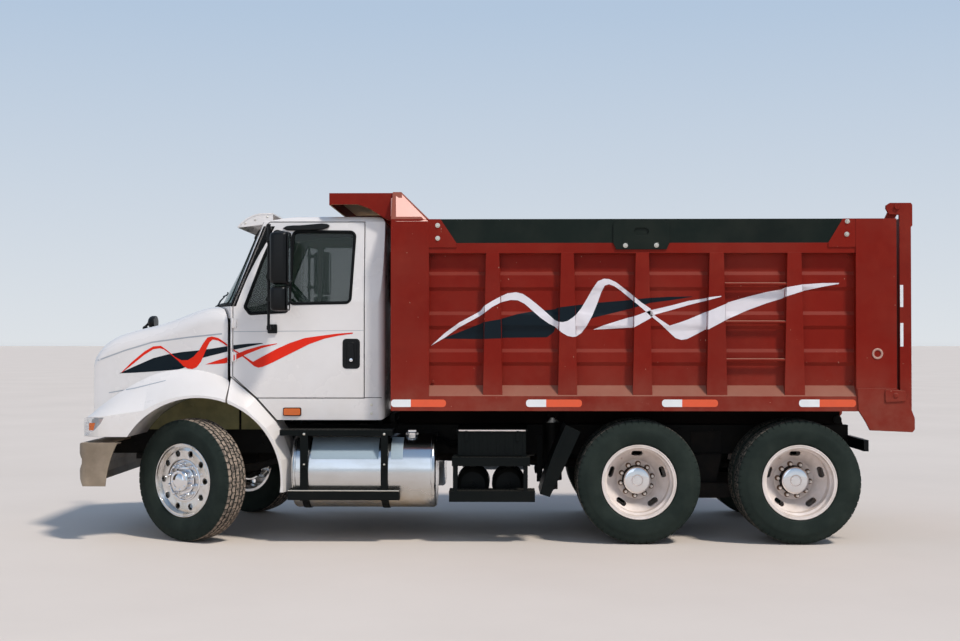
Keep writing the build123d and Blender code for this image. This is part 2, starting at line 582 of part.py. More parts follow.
# rear half of the front fenders, fixed to the cab
FENDER_IN = [(-2338, 1240), (-2338, 1452), (-2116, 1263), (-1936, 1060), (-1860, 930), (-1795, 750), (-1785, 450),
             (-1871, 450)]
FENDER_OUT = [(-2338, 1240), (-2338, 1266), (-2173, 1180), (-1995, 1014), (-1921, 898), (-1859, 734), (-1841, 450),
              (-1871, 450)]
with BuildPart() as cab_fenders:
    for name, s in SIDES:
        side_prism(FENDER_IN, s * 640, s * 1036)
        sections = []
        for y, pts in ((1036, FENDER_IN), (1200, FENDER_OUT)):
            with BuildSketch(Plane(origin=(0, s * y, 0), x_dir=(1, 0, 0), z_dir=(0, -1, 0))) as section:
                outline(pts)
            sections.append(section.sketch.faces()[0])
        loft(sections, ruled=True)
        rod((FRONT_X, s * 600, WHEEL_Z), (FRONT_X, s * 1010, WHEEL_Z), ARCH_R, mode=Mode.SUBTRACT)
        rod((FRONT_X, s * 1000, WHEEL_Z), (FRONT_X, s * 1210, WHEEL_Z), ARCH_R, mode=Mode.SUBTRACT)
keep(cab_fenders, "cab_fenders")

# doors, their glass and their mirrors
for name, s in SIDES:
    with BuildPart() as door:
        add(cab_walls.part)
        add(door_blank(s, 0), mode=Mode.INTERSECT)
        for hole, radius in ((VENT, 22), (MAIN_WINDOW, 40)):
            sketch = rounded(hole, Plane(origin=(0, s * 1100 if s > 0 else s * 900, 0), x_dir=(1, 0, 0),
                                         z_dir=(0, -1, 0)), radius)
            extrude(sketch, amount=200, mode=Mode.SUBTRACT)
        for z in (1600, 1900):
            block(-2318, -2290, s * 1028, s * 1047, z, z + 80)
            rod((DOOR_PIN[0], s * DOOR_PIN[1], z), (DOOR_PIN[0], s * DOOR_PIN[1], z + 80), 9)
    keep(door, f"door_{name}")

    with BuildPart() as door_glass:
        for hole, radius in ((VENT, 22), (MAIN_WINDOW, 40)):
            sketch = rounded(hole, Plane(origin=(0, s * 1100 if s > 0 else s * 900, 0), x_dir=(1, 0, 0),
                                         z_dir=(0, -1, 0)), radius)
            extrude(sketch, amount=200)
        front_prism([(s * 1012, 1900), (s * 1012, 2130), (s * 955, 2850), (s * 949, 2850), (s * 1006, 2130),
                     (s * 1006, 1900)], -2700, -900, mode=Mode.INTERSECT)
    keep(door_glass, f"door_glass_{name}")

    with BuildPart() as mirror_set:
        with BuildSketch(Plane.XY.offset(2275)) as head:
            with Locations((-1850, s * 1340)):
                RectangleRounded(160, 200, 50)
        extrude(head.sketch, amount=455)
        with BuildSketch(Plane.XY.offset(2043)) as wide_head:
            with Locations((-1856, s * 1335)):
                RectangleRounded(150, 180, 48)
        extrude(wide_head.sketch, amount=222)
        for z in (2330, 2660):
            block(-1984, -1900, s * 1206, s * 1262, z, z + 40)
        block(-1984, -1910, s * 1206, s * 1270, 2130, 2165)
        block(-2010, -1925, s * 1030, s * 1052, 1850, 1930)
        rod((-1970, s * 1220, 1876), (-1970, s * 1220, 2806), 13)
        rod((-1990, s * 979.7, 2790), (-1971, s * 1221, 2790), 11)
        rod((-1970, s * 1040, 1892), (-1970, s * 1221, 1892), 11)
    keep(mirror_set, f"mirror_{name}")

# =====================================================================
# HOOD, one tilting piece with the front fenders
# =====================================================================
# X, half width, height at the top edges, corner radius, crown
HOOD = ((-3655, 745, 1640, 110, 30), (-3560, 768, 1758, 130, 32), (-3276, 805, 1878, 150, 36),
        (-2760, 892, 2030, 150, 38), (-2330, 978, 2038, 120, 40))
HOOD_REAR = -2357
SKIN = 24


def hood_section(x, half, top, radius, crown, foot):
    k = radius * (1 - sqrt(0.5))
    with BuildSketch(Plane(origin=(x, 0, 0), x_dir=(0, 1, 0), z_dir=(1, 0, 0))) as section:
        outline([(-half, foot), (half, foot), (half, top - radius),
                 (half - k, top - k, half - radius, top), (0, top + crown, -half + radius, top),
                 (-half + k, top - k, -half, top - radius)])
    return section.sketch.faces()[0]


HOOD_FENDER_IN = [(-3650, 935), (-3650, 1085), (-3400, 1285, -3080, 1465), (-2770, 1528, -2350, 1420), (-2350, 1200),
                  (-3190, 935)]
HOOD_FENDER_OUT = [(-3650, 935), (-3650, 1085), (-3400, 1122, -3080, 1168), (-2740, 1293, -2350, 1263),
                   (-2350, 1200), (-3190, 935)]
HEADLIGHT = [(-3670, 945), (-3670, 1105), (-3430, 1105), (-3460, 1050), (-3520, 990), (-3600, 950)]

with BuildPart() as hood_room:
    loft([hood_section(x + (SKIN if i == 0 else 0), half - SKIN, top - SKIN, radius - SKIN, crown, 1302)
          for i, (x, half, top, radius, crown) in enumerate(HOOD)])

with BuildPart() as hood_solid:
    loft([hood_section(x, half, top, radius, crown, 1020) for x, half, top, radius, crown in HOOD])
    for name, s in SIDES:
        side_prism(HOOD_FENDER_IN, s * 500, s * 985)
        sections = []
        for y, pts in ((985, HOOD_FENDER_IN), (1200, HOOD_FENDER_OUT)):
            with BuildSketch(Plane(origin=(0, s * y, 0), x_dir=(1, 0, 0), z_dir=(0, -1, 0))) as section:
                outline(pts)
            sections.append(section.sketch.faces()[0])
        loft(sections, ruled=True)
    plan_prism([(-3660, -1020), (-3600, -1135, -3480, -1200), (-2300, -1200), (-2300, 1200), (-3480, 1200),
                (-3600, 1135, -3660, 1020)], 900, 2200, mode=Mode.INTERSECT)
    # wheel arches, engine bay and rear edge
    for name, s in SIDES:
        rod((FRONT_X, s * 490, WHEEL_Z), (FRONT_X, s * 1210, WHEEL_Z), ARCH_R, mode=Mode.SUBTRACT)
    add(hood_room.part, mode=Mode.SUBTRACT)
    block(-3631, -2300, -540, 540, 900, 1310, mode=Mode.SUBTRACT)
    block(HOOD_REAR, -2290, -1300, 1300, 900, 2300, mode=Mode.SUBTRACT)
    with BuildSketch(Plane.XY.offset(900)) as scoop:
        outline([(HOOD_REAR + 1, -1010), (HOOD_REAR - 10 - SCREEN_BOW[0], 0, HOOD_REAR + 1, 1010)])
    extrude(scoop.sketch, amount=1400, mode=Mode.SUBTRACT)
    # grille opening
    with BuildSketch(Plane(origin=(-3700, 0, 1320), x_dir=(0, 1, 0), z_dir=(1, 0, 0))) as mouth:
        RectangleRounded(960, 500, 60)
    extrude(mouth.sketch, amount=100, mode=Mode.SUBTRACT)
    # hinge ears in a relief of the fender's inner corner
    for name, s in SIDES:
        block(-3670, -3560, s * 490, s * 548, 890, 990, mode=Mode.SUBTRACT)
        side_prism([(-3650, 1010), (-3590, 1010), (-3590, 925), (-3620, 898, -3650, 925)], s * 505, s * 519)
        rod((HOOD_PIN[0], s * 500, HOOD_PIN[1]), (HOOD_PIN[0], s * 524, HOOD_PIN[1]), 14.06, mode=Mode.SUBTRACT)
with BuildPart() as hood:
    add(hood_solid.part)
    for name, s in SIDES:
        side_prism(HEADLIGHT, s * 780, s * 1250, mode=Mode.SUBTRACT)
keep(hood, "hood")

with BuildPart() as headlights:
    add(hood_solid.part)
    front_prism([(-1250, 900), (-780, 900), (-780, 1300), (-1250, 1300)], -3700, -3300, mode=Mode.INTERSECT)
    side_prism(HEADLIGHT, -1250, 0, mode=Mode.INTERSECT)
    mirror(about=Plane.XZ)
keep(headlights, "headlights")

with BuildPart() as grille:
    with BuildSketch(Plane(origin=(-3660, 0, 1320), x_dir=(0, 1, 0), z_dir=(1, 0, 0))) as surround:
        RectangleRounded(960, 500, 60)
        RectangleRounded(880, 420, 40, mode=Mode.SUBTRACT)
    extrude(surround.sketch, amount=38)
    for i in range(6):
        z = 1140 + i * 72
        block(-3652, -3634, -442, 442, z - 12, z + 12)
    for y in (-150, 150):
        block(-3640, -3630, y - 10, y + 10, 1105, 1535)
keep(grille, "grille")

# =====================================================================
# BED
# =====================================================================
RIBS = ((-85, 87), (571, 740), (1224, 1395), (1868, 2048), (2545, 2722))     # X at the foot
RIB_TOP_IN = 28                                                              # each flank leans in by this
FRONT_POST = (BED_FRONT, -557)
REAR_POST = (3164, BED_REAR)

bearers = []
with BuildPart() as floor_plate:
    block(-880, 3545, -BED_IN, BED_IN, FLOOR_Z - 20, FLOOR_Z)
for x0, x1 in RIBS + ((-880, -790), (3420, 3510)):
    m = (x0 + x1) / 2
    with BuildPart() as bearer:
        block(m - 45, m + 45, -BED_IN, BED_IN, 1170, FLOOR_Z - 20)
    bearers.append(bearer)
with BuildPart() as hoist_bearer:
    block(HOIST_X - 75, HOIST_X + 45, -700, 700, 1170, FLOOR_Z - 20)
    for name, s in SIDES:
        for y0, y1 in ((480, 494), (566, 580)):
            side_prism([(480, 1175), (505, 1072), (600, 1072), (622, 1175)], s * y0, s * y1)
with BuildPart() as long_beams:
    for name, s in SIDES:
        block(-880, 3080, s * 350, s * 430, 1012, 1170)
        side_prism([(3060, 1012), (3190, 1008), (3242, 1050, 3225, 1084), (3225, 1170), (3060, 1170)], s * 395, s * 430)
        rod((BED_PIN[0], s * 390, BED_PIN[1]), (BED_PIN[0], s * 435, BED_PIN[1]), 28.08, mode=Mode.SUBTRACT)
        block(3060, 3420, s * 350, s * 430, 1160, FLOOR_Z - 20)
keep_all("bed_floor", floor_plate, *bearers, hoist_bearer, long_beams)

with BuildPart() as bed_sides:
    for name, s in SIDES:
        block(FRONT_POST[1] - 5, REAR_POST[0] + 5, s * BED_IN, s * 1172, 1390, 2560)
        front_prism([(s * BED_IN, 1170), (s * BED_OUT, 1170), (s * BED_OUT, 1300), (s * 1172, 1392), (s * BED_IN, 1392)],
                    BED_FRONT, 3260)
        block(-560, 3170, s * BED_IN, s * 1240, 2550, 2640)
        block(*FRONT_POST, s * BED_IN, s * BED_OUT, 1170, BED_TOP)
        block(*REAR_POST, s * BED_IN, s * BED_OUT, 1170, BED_TOP)
        for x0, x1 in RIBS:
            side_prism([(x0, 1300), (x1, 1300), (x1 - RIB_TOP_IN, 2555), (x0 + RIB_TOP_IN, 2555)], s * 1160, s * 1242)
        for z0, z1 in ((2255, 2400), (1915, 2050), (1595, 1722)):
            front_prism([(s * 1168, z0 - 40), (s * 1186, z0), (s * 1186, z1 - 40), (s * 1168, z1)], -560, 3170)
        for z in (2280, 1947, 1617):
            rod((2030, s * 1222, z), (2570, s * 1222, z), 14)
        # corner plates over the boards' ends
        side_prism([(-570, 2600), (-316, 2600), (-316, 2640), (-457, BED_TOP), (-570, BED_TOP)], s * 1240, s * 1248)
        side_prism([(3170, 2600), (2927, 2600), (2927, 2640), (3054, BED_TOP), (3170, BED_TOP)], s * 1240, s * 1248)
        # rear apron
        side_prism([(3170, 1370), (3180, 1180), (3245, 1075), (3280, 1005), (3645, 990), (3665, 1015), (3665, 1110),
                    (3617, 1240), (3617, 1295), (3510, 1370)], s * 1232, s * 1262)
        # tailgate lug and pin
        side_prism([(3430, 2845), (3517, 2845), (3566, 2938), (3566, 2972), (3545, 2990), (3500, 2990)],
                   s * 1160, s * 1190)
        rod((GATE_PIN[0], s * 1165, GATE_PIN[1]), (GATE_PIN[0], s * 1236, GATE_PIN[1]), 16)
        rod((GATE_PIN[0], s * 1230, GATE_PIN[1]), (GATE_PIN[0], s * 1240, GATE_PIN[1]), 26)
keep(bed_sides, "bed_sides")

with BuildPart() as bed_headboard:
    block(-890, -870, -BED_IN, BED_IN, FLOOR_Z, BED_TOP)
    front_prism([(-1240, BED_TOP), (1240, BED_TOP), (1046, 3108), (-1046, 3108)], -890, -870)
    for y in (-760, -380, 0, 380, 760):
        block(-888, -850, y - 40, y + 40, FLOOR_Z, 2900)
    # slanted wings over the front posts
    for name, s in SIDES:
        wing = Plane(origin=(BED_FRONT, s * 1245, BED_TOP), x_dir=(1, 0, 0), z_dir=(0, -s * 0.8, -0.6))
        up = 1 if wing.y_dir.Z > 0 else -1
        with BuildSketch(wing) as plate:
            outline([(0, 0), (335, 0), (77, up * 325), (0, up * 325)])
        extrude(plate.sketch, amount=10)
    block(-900, -500, -1300, 1300, 2800, BED_TOP, mode=Mode.SUBTRACT)
    block(-890, -870, -BED_IN, BED_IN, 2790, BED_TOP)
    for y in (-760, -380, 0, 380, 760):
        block(-888, -850, y - 40, y + 40, 2790, BED_TOP + 1)
    # canopy over the cab
    block(-1460, -880, -1046, 1046, 3090, 3102)
    block(-1460, -1446, -1046, 1046, 2995, 3100)
    for name, s in SIDES:
        side_prism([(-1460, 3000), (-1460, 3100), (-880, 3100), (-880, 2860), (-936, 2860), (-1100, 2962), (-1200, 3000)],
                   s * 1036, s * 1046)
keep(bed_headboard, "bed_headboard")

with BuildPart() as side_boards:
    for name, s in SIDES:
        block(FRONT_POST[1], REAR_POST[0], s * 1186, s * 1240, 2640, BED_TOP)
        with BuildSketch(Plane(origin=(0, s * 1252 if s > 0 else s * 1240, 0), x_dir=(1, 0, 0),
                               z_dir=(0, -1, 0))) as plate:
            outline([(1055, 2640), (1055, 2790), (1067, 2820, 1097, 2832), (1505, 2832), (1535, 2820, 1547, 2790),
                     (1547, 2640), (1520, 2582), (1082, 2582)])
            with Locations((1301, 2738)):
                SlotOverall(130, 66, mode=Mode.SUBTRACT)
        extrude(plate.sketch, amount=12)
keep(side_boards, "side_boards")

with BuildPart() as tailgate:
    block(3550, 3650, -1225, 1225, 1175, BED_TOP)
    for z0, z1 in ((1265, 1980), (2060, 2760)):
        for y0, y1 in ((-1135, -440), (-360, 360), (440, 1135)):
            block(3562, 3660, y0, y1, z0, z1, mode=Mode.SUBTRACT)
    for name, s in SIDES:
        side_prism([(3550, 2775), (3650, 2775), (3663, 2790), (3663, 2972), (3650, 2988), (3470, 2988), (3436, 2966),
                    (3434, 2940), (3462, 2888), (3550, 2884)], s * 1195, s * 1225)
        rod((GATE_PIN[0], s * 1190, GATE_PIN[1]), (GATE_PIN[0], s * 1230, GATE_PIN[1]), 16.06, mode=Mode.SUBTRACT)
keep(tailgate, "tailgate")

# =====================================================================
# HOIST: two telescopic cylinders, one each side of the frame
# =====================================================================
# outer radius, inner radius, foot Z, top Z
STAGES = ((70, 58.5, 516, 1040), (56.5, 45.5, 522, 1050), (43.5, 33.5, 528, 1058))
with BuildPart() as hoist_barrels:
    for name, s in SIDES:
        turned((HOIST_X, s * HOIST_Y, 0), (0, 0, 1), [(498, 0), (498, 85), (1030, 85), (1030, 72), (510, 72), (510, 0)])
        side_prism([(510, 502), (590, 502), (590, 450), (550, 410, 510, 450)], s * (HOIST_Y - 30), s * (HOIST_Y + 30))
        rod((HOIST_X, s * (HOIST_Y - 35), HOIST_BASE_Z), (HOIST_X, s * (HOIST_Y + 35), HOIST_BASE_Z), 25.06,
            mode=Mode.SUBTRACT)
keep(hoist_barrels, "hoist_barrels")

for n, (r1, r0, z0, z1) in enumerate(STAGES, 1):
    with BuildPart() as stage:
        for name, s in SIDES:
            turned((HOIST_X, s * HOIST_Y, 0), (0, 0, 1), [(z0, 0), (z0, r1), (z1, r1), (z1, r0), (z0 + 5, r0), (z0 + 5, 0)])
    keep(stage, f"hoist_stage_{n}")

with BuildPart() as hoist_stage_4:
    for name, s in SIDES:
        rod((HOIST_X, s * HOIST_Y, 534), (HOIST_X, s * HOIST_Y, 1075), 31)
        rod((HOIST_X, s * (HOIST_Y - 20), HOIST_EYE_Z), (HOIST_X, s * (HOIST_Y + 20), HOIST_EYE_Z), 38)
        rod((HOIST_X, s * (HOIST_Y - 25), HOIST_EYE_Z), (HOIST_X, s * (HOIST_Y + 25), HOIST_EYE_Z), 18,
            mode=Mode.SUBTRACT)
keep(hoist_stage_4, "hoist_stage_4")
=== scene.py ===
import json
import math
import random

import bmesh
import bpy
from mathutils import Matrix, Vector, geometry, noise
from mathutils.bvhtree import BVHTree

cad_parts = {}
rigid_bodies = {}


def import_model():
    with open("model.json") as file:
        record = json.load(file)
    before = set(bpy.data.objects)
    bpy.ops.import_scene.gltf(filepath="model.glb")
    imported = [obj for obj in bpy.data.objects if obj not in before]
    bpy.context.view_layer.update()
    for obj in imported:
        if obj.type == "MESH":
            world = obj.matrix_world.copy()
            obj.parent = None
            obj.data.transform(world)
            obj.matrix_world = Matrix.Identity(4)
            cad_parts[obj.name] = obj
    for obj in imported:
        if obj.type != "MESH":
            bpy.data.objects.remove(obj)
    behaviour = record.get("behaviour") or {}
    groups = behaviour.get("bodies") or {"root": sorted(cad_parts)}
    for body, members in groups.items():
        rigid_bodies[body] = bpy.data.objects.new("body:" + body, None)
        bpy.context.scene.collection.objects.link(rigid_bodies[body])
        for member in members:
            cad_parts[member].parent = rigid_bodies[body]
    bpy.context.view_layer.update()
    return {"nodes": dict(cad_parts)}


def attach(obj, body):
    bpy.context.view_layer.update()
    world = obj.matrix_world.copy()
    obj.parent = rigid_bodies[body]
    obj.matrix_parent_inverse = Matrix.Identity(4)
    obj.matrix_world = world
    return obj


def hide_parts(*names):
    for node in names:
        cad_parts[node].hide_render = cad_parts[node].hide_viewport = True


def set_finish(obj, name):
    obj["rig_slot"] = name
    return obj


random.seed(7)
for thing in list(bpy.data.objects):
    bpy.data.objects.remove(thing)

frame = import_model()
nodes = frame["nodes"]

SIDES = (("left", -1), ("right", 1))

# =====================================================================
# camera, light, floor
# =====================================================================
CAM = Vector((100.0, -12910.0, 1790.0))          # millimetres
YAW, PITCH, FOCAL = math.radians(1.03), math.radians(0.84), 50 / 36 * 960
AHEAD = Vector((-math.sin(YAW) * math.cos(PITCH), math.cos(YAW) * math.cos(PITCH), math.sin(PITCH)))
ACROSS = Vector((math.cos(YAW), math.sin(YAW), 0))
UPWARD = ACROSS.cross(AHEAD)

camera = bpy.data.objects.new("camera", bpy.data.cameras.new("camera"))
bpy.context.scene.collection.objects.link(camera)
camera.data.lens = 50
camera.data.sensor_width = 36
camera.data.clip_end = 400
camera.location = CAM * 0.001
camera.rotation_euler = (math.pi / 2 + PITCH, 0, YAW)
bpy.context.scene.camera = camera


def sight(x, y):
    """Direction from the camera through a place in the picture."""
    return (AHEAD + ACROSS * ((x - 480) / FOCAL) + UPWARD * ((320.5 - y) / FOCAL)).normalized()


def at_depth(x, y, depth):
    """Place in the picture to X, Z on the plane Y = depth, millimetres."""
    d = sight(x, y)
    p = CAM + d * ((depth - CAM.y) / d.y)
    return p.x, p.z


def in_picture(p):
    d = Vector(p) - CAM
    k = FOCAL / d.dot(AHEAD)
    return 480 + d.dot(ACROSS) * k, 320.5 - d.dot(UPWARD) * k


sun = bpy.data.objects.new("key", bpy.data.lights.new("key", "SUN"))
sun.data.energy = 3.0
sun.data.angle = math.radians(7)
sun.data.color = (1.0, 0.955, 0.885)
sun.rotation_euler = Vector((-0.42, 0.40, -0.82)).to_track_quat("-Z", "Y").to_euler()
bpy.context.scene.collection.objects.link(sun)
fill = bpy.data.objects.new("fill", bpy.data.lights.new("fill", "AREA"))
fill.data.energy = 160
fill.data.size = 9
fill.data.color = (0.95, 0.97, 1.0)
fill.location = (-3, -14, 7)
fill.rotation_euler = (Vector((0, 0, 1.4)) - fill.location).to_track_quat("-Z", "Y").to_euler()
bpy.context.scene.collection.objects.link(fill)

world = bpy.data.worlds.new("studio")
bpy.context.scene.world = world
world.use_nodes = True
wt = world.node_tree
wc = wt.nodes.new("ShaderNodeTexCoord")
ws = wt.nodes.new("ShaderNodeSeparateXYZ")
wr = wt.nodes.new("ShaderNodeValToRGB")
wr.color_ramp.elements[0].position = 0.46
wr.color_ramp.elements[0].color = (0.50, 0.47, 0.44, 1)
wr.color_ramp.elements[1].position = 1.0
wr.color_ramp.elements[1].color = (0.20, 0.33, 0.56, 1)
for where, shade in ((0.5, (0.80, 0.84, 0.88, 1)), (0.62, (0.50, 0.63, 0.80, 1))):
    e = wr.color_ramp.elements.new(where)
    e.color = shade
wm = wt.nodes.new("ShaderNodeMapRange")
wm.inputs["From Min"].default_value = -1
wt.links.new(wc.outputs["Generated"], ws.inputs[0])
wt.links.new(ws.outputs["Z"], wm.inputs["Value"])
wt.links.new(wm.outputs["Result"], wr.inputs["Fac"])
wt.links.new(wr.outputs["Color"], wt.nodes["Background"].inputs["Color"])
wt.nodes["Background"].inputs["Strength"].default_value = 0.9
bpy.context.scene.view_settings.view_transform = "Standard"


# =====================================================================
# materials
# =====================================================================
def colour(red, green, blue):
    """Display values 0-255 to linear."""
    return tuple(((c / 255 + 0.055) / 1.055) ** 2.4 if c > 10 else c / 255 / 12.92 for c in (red, green, blue))


def plain(name, base, rough=0.5, metal=0.0, coat=0.0, bevel=0.0, alpha=1.0, specular=0.5):
    m = bpy.data.materials.new(name)
    m.use_nodes = True
    m.diffuse_color = (*base, 1)
    t = m.node_tree
    b = t.nodes["Principled BSDF"]
    b.inputs["Base Color"].default_value = (*base, 1)
    b.inputs["Roughness"].default_value = rough
    b.inputs["Metallic"].default_value = metal
    b.inputs["Coat Weight"].default_value = coat
    b.inputs["Coat Roughness"].default_value = 0.06
    b.inputs["Specular IOR Level"].default_value = specular
    b.inputs["Alpha"].default_value = alpha
    if bevel:
        round_edge = t.nodes.new("ShaderNodeBevel")
        round_edge.samples = 4
        round_edge.inputs["Radius"].default_value = bevel
        t.links.new(round_edge.outputs["Normal"], b.inputs["Normal"])
    return m


def position(t):
    return t.nodes.new("ShaderNodeTexCoord").outputs["Object"]


def noise_mask(t, scale, low, high, detail=5.0, stretch=None, rough=0.6):
    """0 below low, 1 above high."""
    n = t.nodes.new("ShaderNodeTexNoise")
    n.inputs["Scale"].default_value = scale
    n.inputs["Detail"].default_value = detail
    n.inputs["Roughness"].default_value = rough
    source = position(t)
    if stretch:
        mp = t.nodes.new("ShaderNodeMapping")
        mp.inputs["Scale"].default_value = stretch
        t.links.new(source, mp.inputs["Vector"])
        source = mp.outputs["Vector"]
    t.links.new(source, n.inputs["Vector"])
    r = t.nodes.new("ShaderNodeMapRange")
    r.inputs["From Min"].default_value = low
    r.inputs["From Max"].default_value = high
    t.links.new(n.outputs["Fac"], r.inputs["Value"])
    return r.outputs["Result"]


def math_node(t, kind, a, b=None, clamp=False):
    n = t.nodes.new("ShaderNodeMath")
    n.operation = kind
    n.use_clamp = clamp
    for i, value in enumerate((a, b)):
        if value is None:
            continue
        if isinstance(value, (int, float)):
            n.inputs[i].default_value = value
        else:
            t.links.new(value, n.inputs[i])
    return n.outputs[0]


def ramp(t, value, x0, x1, y0=0.0, y1=1.0):
    r = t.nodes.new("ShaderNodeMapRange")
    r.inputs["From Min"].default_value = x0
    r.inputs["From Max"].default_value = x1
    r.inputs["To Min"].default_value = y0
    r.inputs["To Max"].default_value = y1
    t.links.new(value, r.inputs["Value"])
    return r.outputs["Result"]


def axis_of(t, source, index):
    s = t.nodes.new("ShaderNodeSeparateXYZ")
    t.links.new(source, s.inputs[0])
    return s.outputs[index]


def tint(m, mask, shade, rough=None):
    """Lays a colour over what the shader has so far, where mask is 1."""
    t = m.node_tree
    b = t.nodes["Principled BSDF"]
    mix = t.nodes.new("ShaderNodeMix")
    mix.data_type = "RGBA"
    now = b.inputs["Base Color"]
    if now.is_linked:
        t.links.new(now.links[0].from_socket, mix.inputs[6])
    else:
        mix.inputs[6].default_value = now.default_value
    mix.inputs[7].default_value = (*shade, 1)
    t.links.new(mask, mix.inputs[0])
    t.links.new(mix.outputs[2], now)
    if rough is not None:
        slot = b.inputs["Roughness"]
        level = t.nodes.new("ShaderNodeMix")
        level.data_type = "FLOAT"
        if slot.is_linked:
            t.links.new(slot.links[0].from_socket, level.inputs[2])
        else:
            level.inputs[2].default_value = slot.default_value
        level.inputs[3].default_value = rough
        t.links.new(mask, level.inputs[0])
        t.links.new(level.outputs[0], slot)
    return m


def dust(m, shade=(0.36, 0.28, 0.21), ledges=0.7, patches=0.25, scale=2.2, low=None, rough=0.85):
    """Dust on what faces up, in patches, and towards the ground."""
    t = m.node_tree
    g = t.nodes.new("ShaderNodeTexCoord")
    up = ramp(t, axis_of(t, g.outputs["Normal"], 2), 0.35, 0.95, 0, ledges)
    spots = math_node(t, "MULTIPLY", noise_mask(t, scale, 0.42, 0.72), patches)
    mask = math_node(t, "ADD", up, spots, clamp=True)
    if low:
        near = ramp(t, axis_of(t, position(t), 2), low[0], low[1], low[2], 0)
        near = math_node(t, "MULTIPLY", near, noise_mask(t, 5, 0.25, 0.7))
        mask = math_node(t, "ADD", mask, near, clamp=True)
    return tint(m, mask, shade, rough)


def bumpy(m, scale, strength, distance=0.002, detail=4.0, kind="noise", stretch=None):
    t = m.node_tree
    b = t.nodes["Principled BSDF"]
    if kind == "noise":
        n = t.nodes.new("ShaderNodeTexNoise")
        n.inputs["Detail"].default_value = detail
        out = n.outputs["Fac"]
    else:
        n = t.nodes.new("ShaderNodeTexVoronoi")
        out = n.outputs["Distance"]
    n.inputs["Scale"].default_value = scale
    source = position(t)
    if stretch:
        mp = t.nodes.new("ShaderNodeMapping")
        mp.inputs["Scale"].default_value = stretch
        t.links.new(source, mp.inputs["Vector"])
        source = mp.outputs["Vector"]
    t.links.new(source, n.inputs["Vector"])
    bump = t.nodes.new("ShaderNodeBump")
    bump.inputs["Strength"].default_value = strength
    bump.inputs["Distance"].default_value = distance
    t.links.new(out, bump.inputs["Height"])
    slot = b.inputs["Normal"]
    if slot.is_linked:
        t.links.new(slot.links[0].from_socket, bump.inputs["Normal"])
    t.links.new(bump.outputs["Normal"], slot)
    return m


M = {}
M["white"] = plain("cab_white", colour(222, 217, 215), 0.24, coat=0.5, bevel=0.006)
tint(M["white"], noise_mask(M["white"].node_tree, 1.1, 0.35, 0.75), colour(212, 206, 203), 0.3)
dust(M["white"], colour(196, 184, 168), ledges=0.12, patches=0.06, low=(0.45, 1.5, 0.55), rough=0.55)

M["red"] = plain("bed_red", colour(124, 24, 11), 0.5, bevel=0.005, specular=0.12)
rt = M["red"].node_tree
tint(M["red"], noise_mask(rt, 0.9, 0.38, 0.7), colour(113, 22, 11), 0.55)
tint(M["red"], math_node(rt, "MULTIPLY", noise_mask(rt, 3.5, 0.52, 0.75), 0.3), colour(140, 46, 30), 0.6)
tint(M["red"], noise_mask(rt, 34, 0.755, 0.78, detail=2, stretch=(1, 1, 0.6)), colour(170, 130, 110), 0.7)
dust(M["red"], colour(158, 124, 104), ledges=0.75, patches=0.05, scale=1.5, low=(1.1, 1.6, 0.22))
bumpy(M["red"], 5, 0.12, 0.004)
# painted shade: the underside of the bed darkened to near black, standing in for the shadow beneath it
low_y = ramp(rt, math_node(rt, "ABSOLUTE", axis_of(rt, position(rt), 1)), 1.2, 1.203, 1, 0)
low_z = ramp(rt, axis_of(rt, position(rt), 2), 1.334, 1.337, 1, 0)
low_x = ramp(rt, axis_of(rt, position(rt), 0), 3.49, 3.495, 1, 0)
tint(M["red"], math_node(rt, "MULTIPLY", math_node(rt, "MULTIPLY", low_y, low_z), low_x), colour(20, 13, 11), 0.8)
# bare, scoured inside of the bed
inner_y = ramp(rt, math_node(rt, "ABSOLUTE", axis_of(rt, position(rt), 1)), 1.1508, 1.1512, 1, 0)
inner_z = ramp(rt, axis_of(rt, position(rt), 2), 1.3488, 1.3492)
inner_x = ramp(rt, axis_of(rt, position(rt), 0), -0.8712, -0.8708)
scoured = math_node(rt, "MULTIPLY", math_node(rt, "MULTIPLY", inner_y, inner_z), inner_x)
scoured = math_node(rt, "MULTIPLY", scoured, ramp(rt, axis_of(rt, position(rt), 2), 2.846, 2.848, 1, 0))
scoured = math_node(rt, "MULTIPLY", scoured, ramp(rt, axis_of(rt, position(rt), 0), 3.5525, 3.5535, 1, 0))
scoured = math_node(rt, "MULTIPLY", scoured, noise_mask(rt, 1.7, 0.1, 0.5))
tint(M["red"], scoured, colour(112, 92, 78), 0.7)
# painted light: the canopy's down-facing faces made pale tan, standing in for light bounced up under it
under = ramp(rt, axis_of(rt, rt.nodes.new("ShaderNodeTexCoord").outputs["Normal"], 2), -0.5, -0.25, 1, 0)
under = math_node(rt, "MULTIPLY", under, ramp(rt, axis_of(rt, position(rt), 0), -0.92, -0.90, 1, 0))
under = math_node(rt, "MULTIPLY", under, ramp(rt, axis_of(rt, position(rt), 2), 2.80, 2.82))
tint(M["red"], under, colour(224, 188, 144), 0.85)
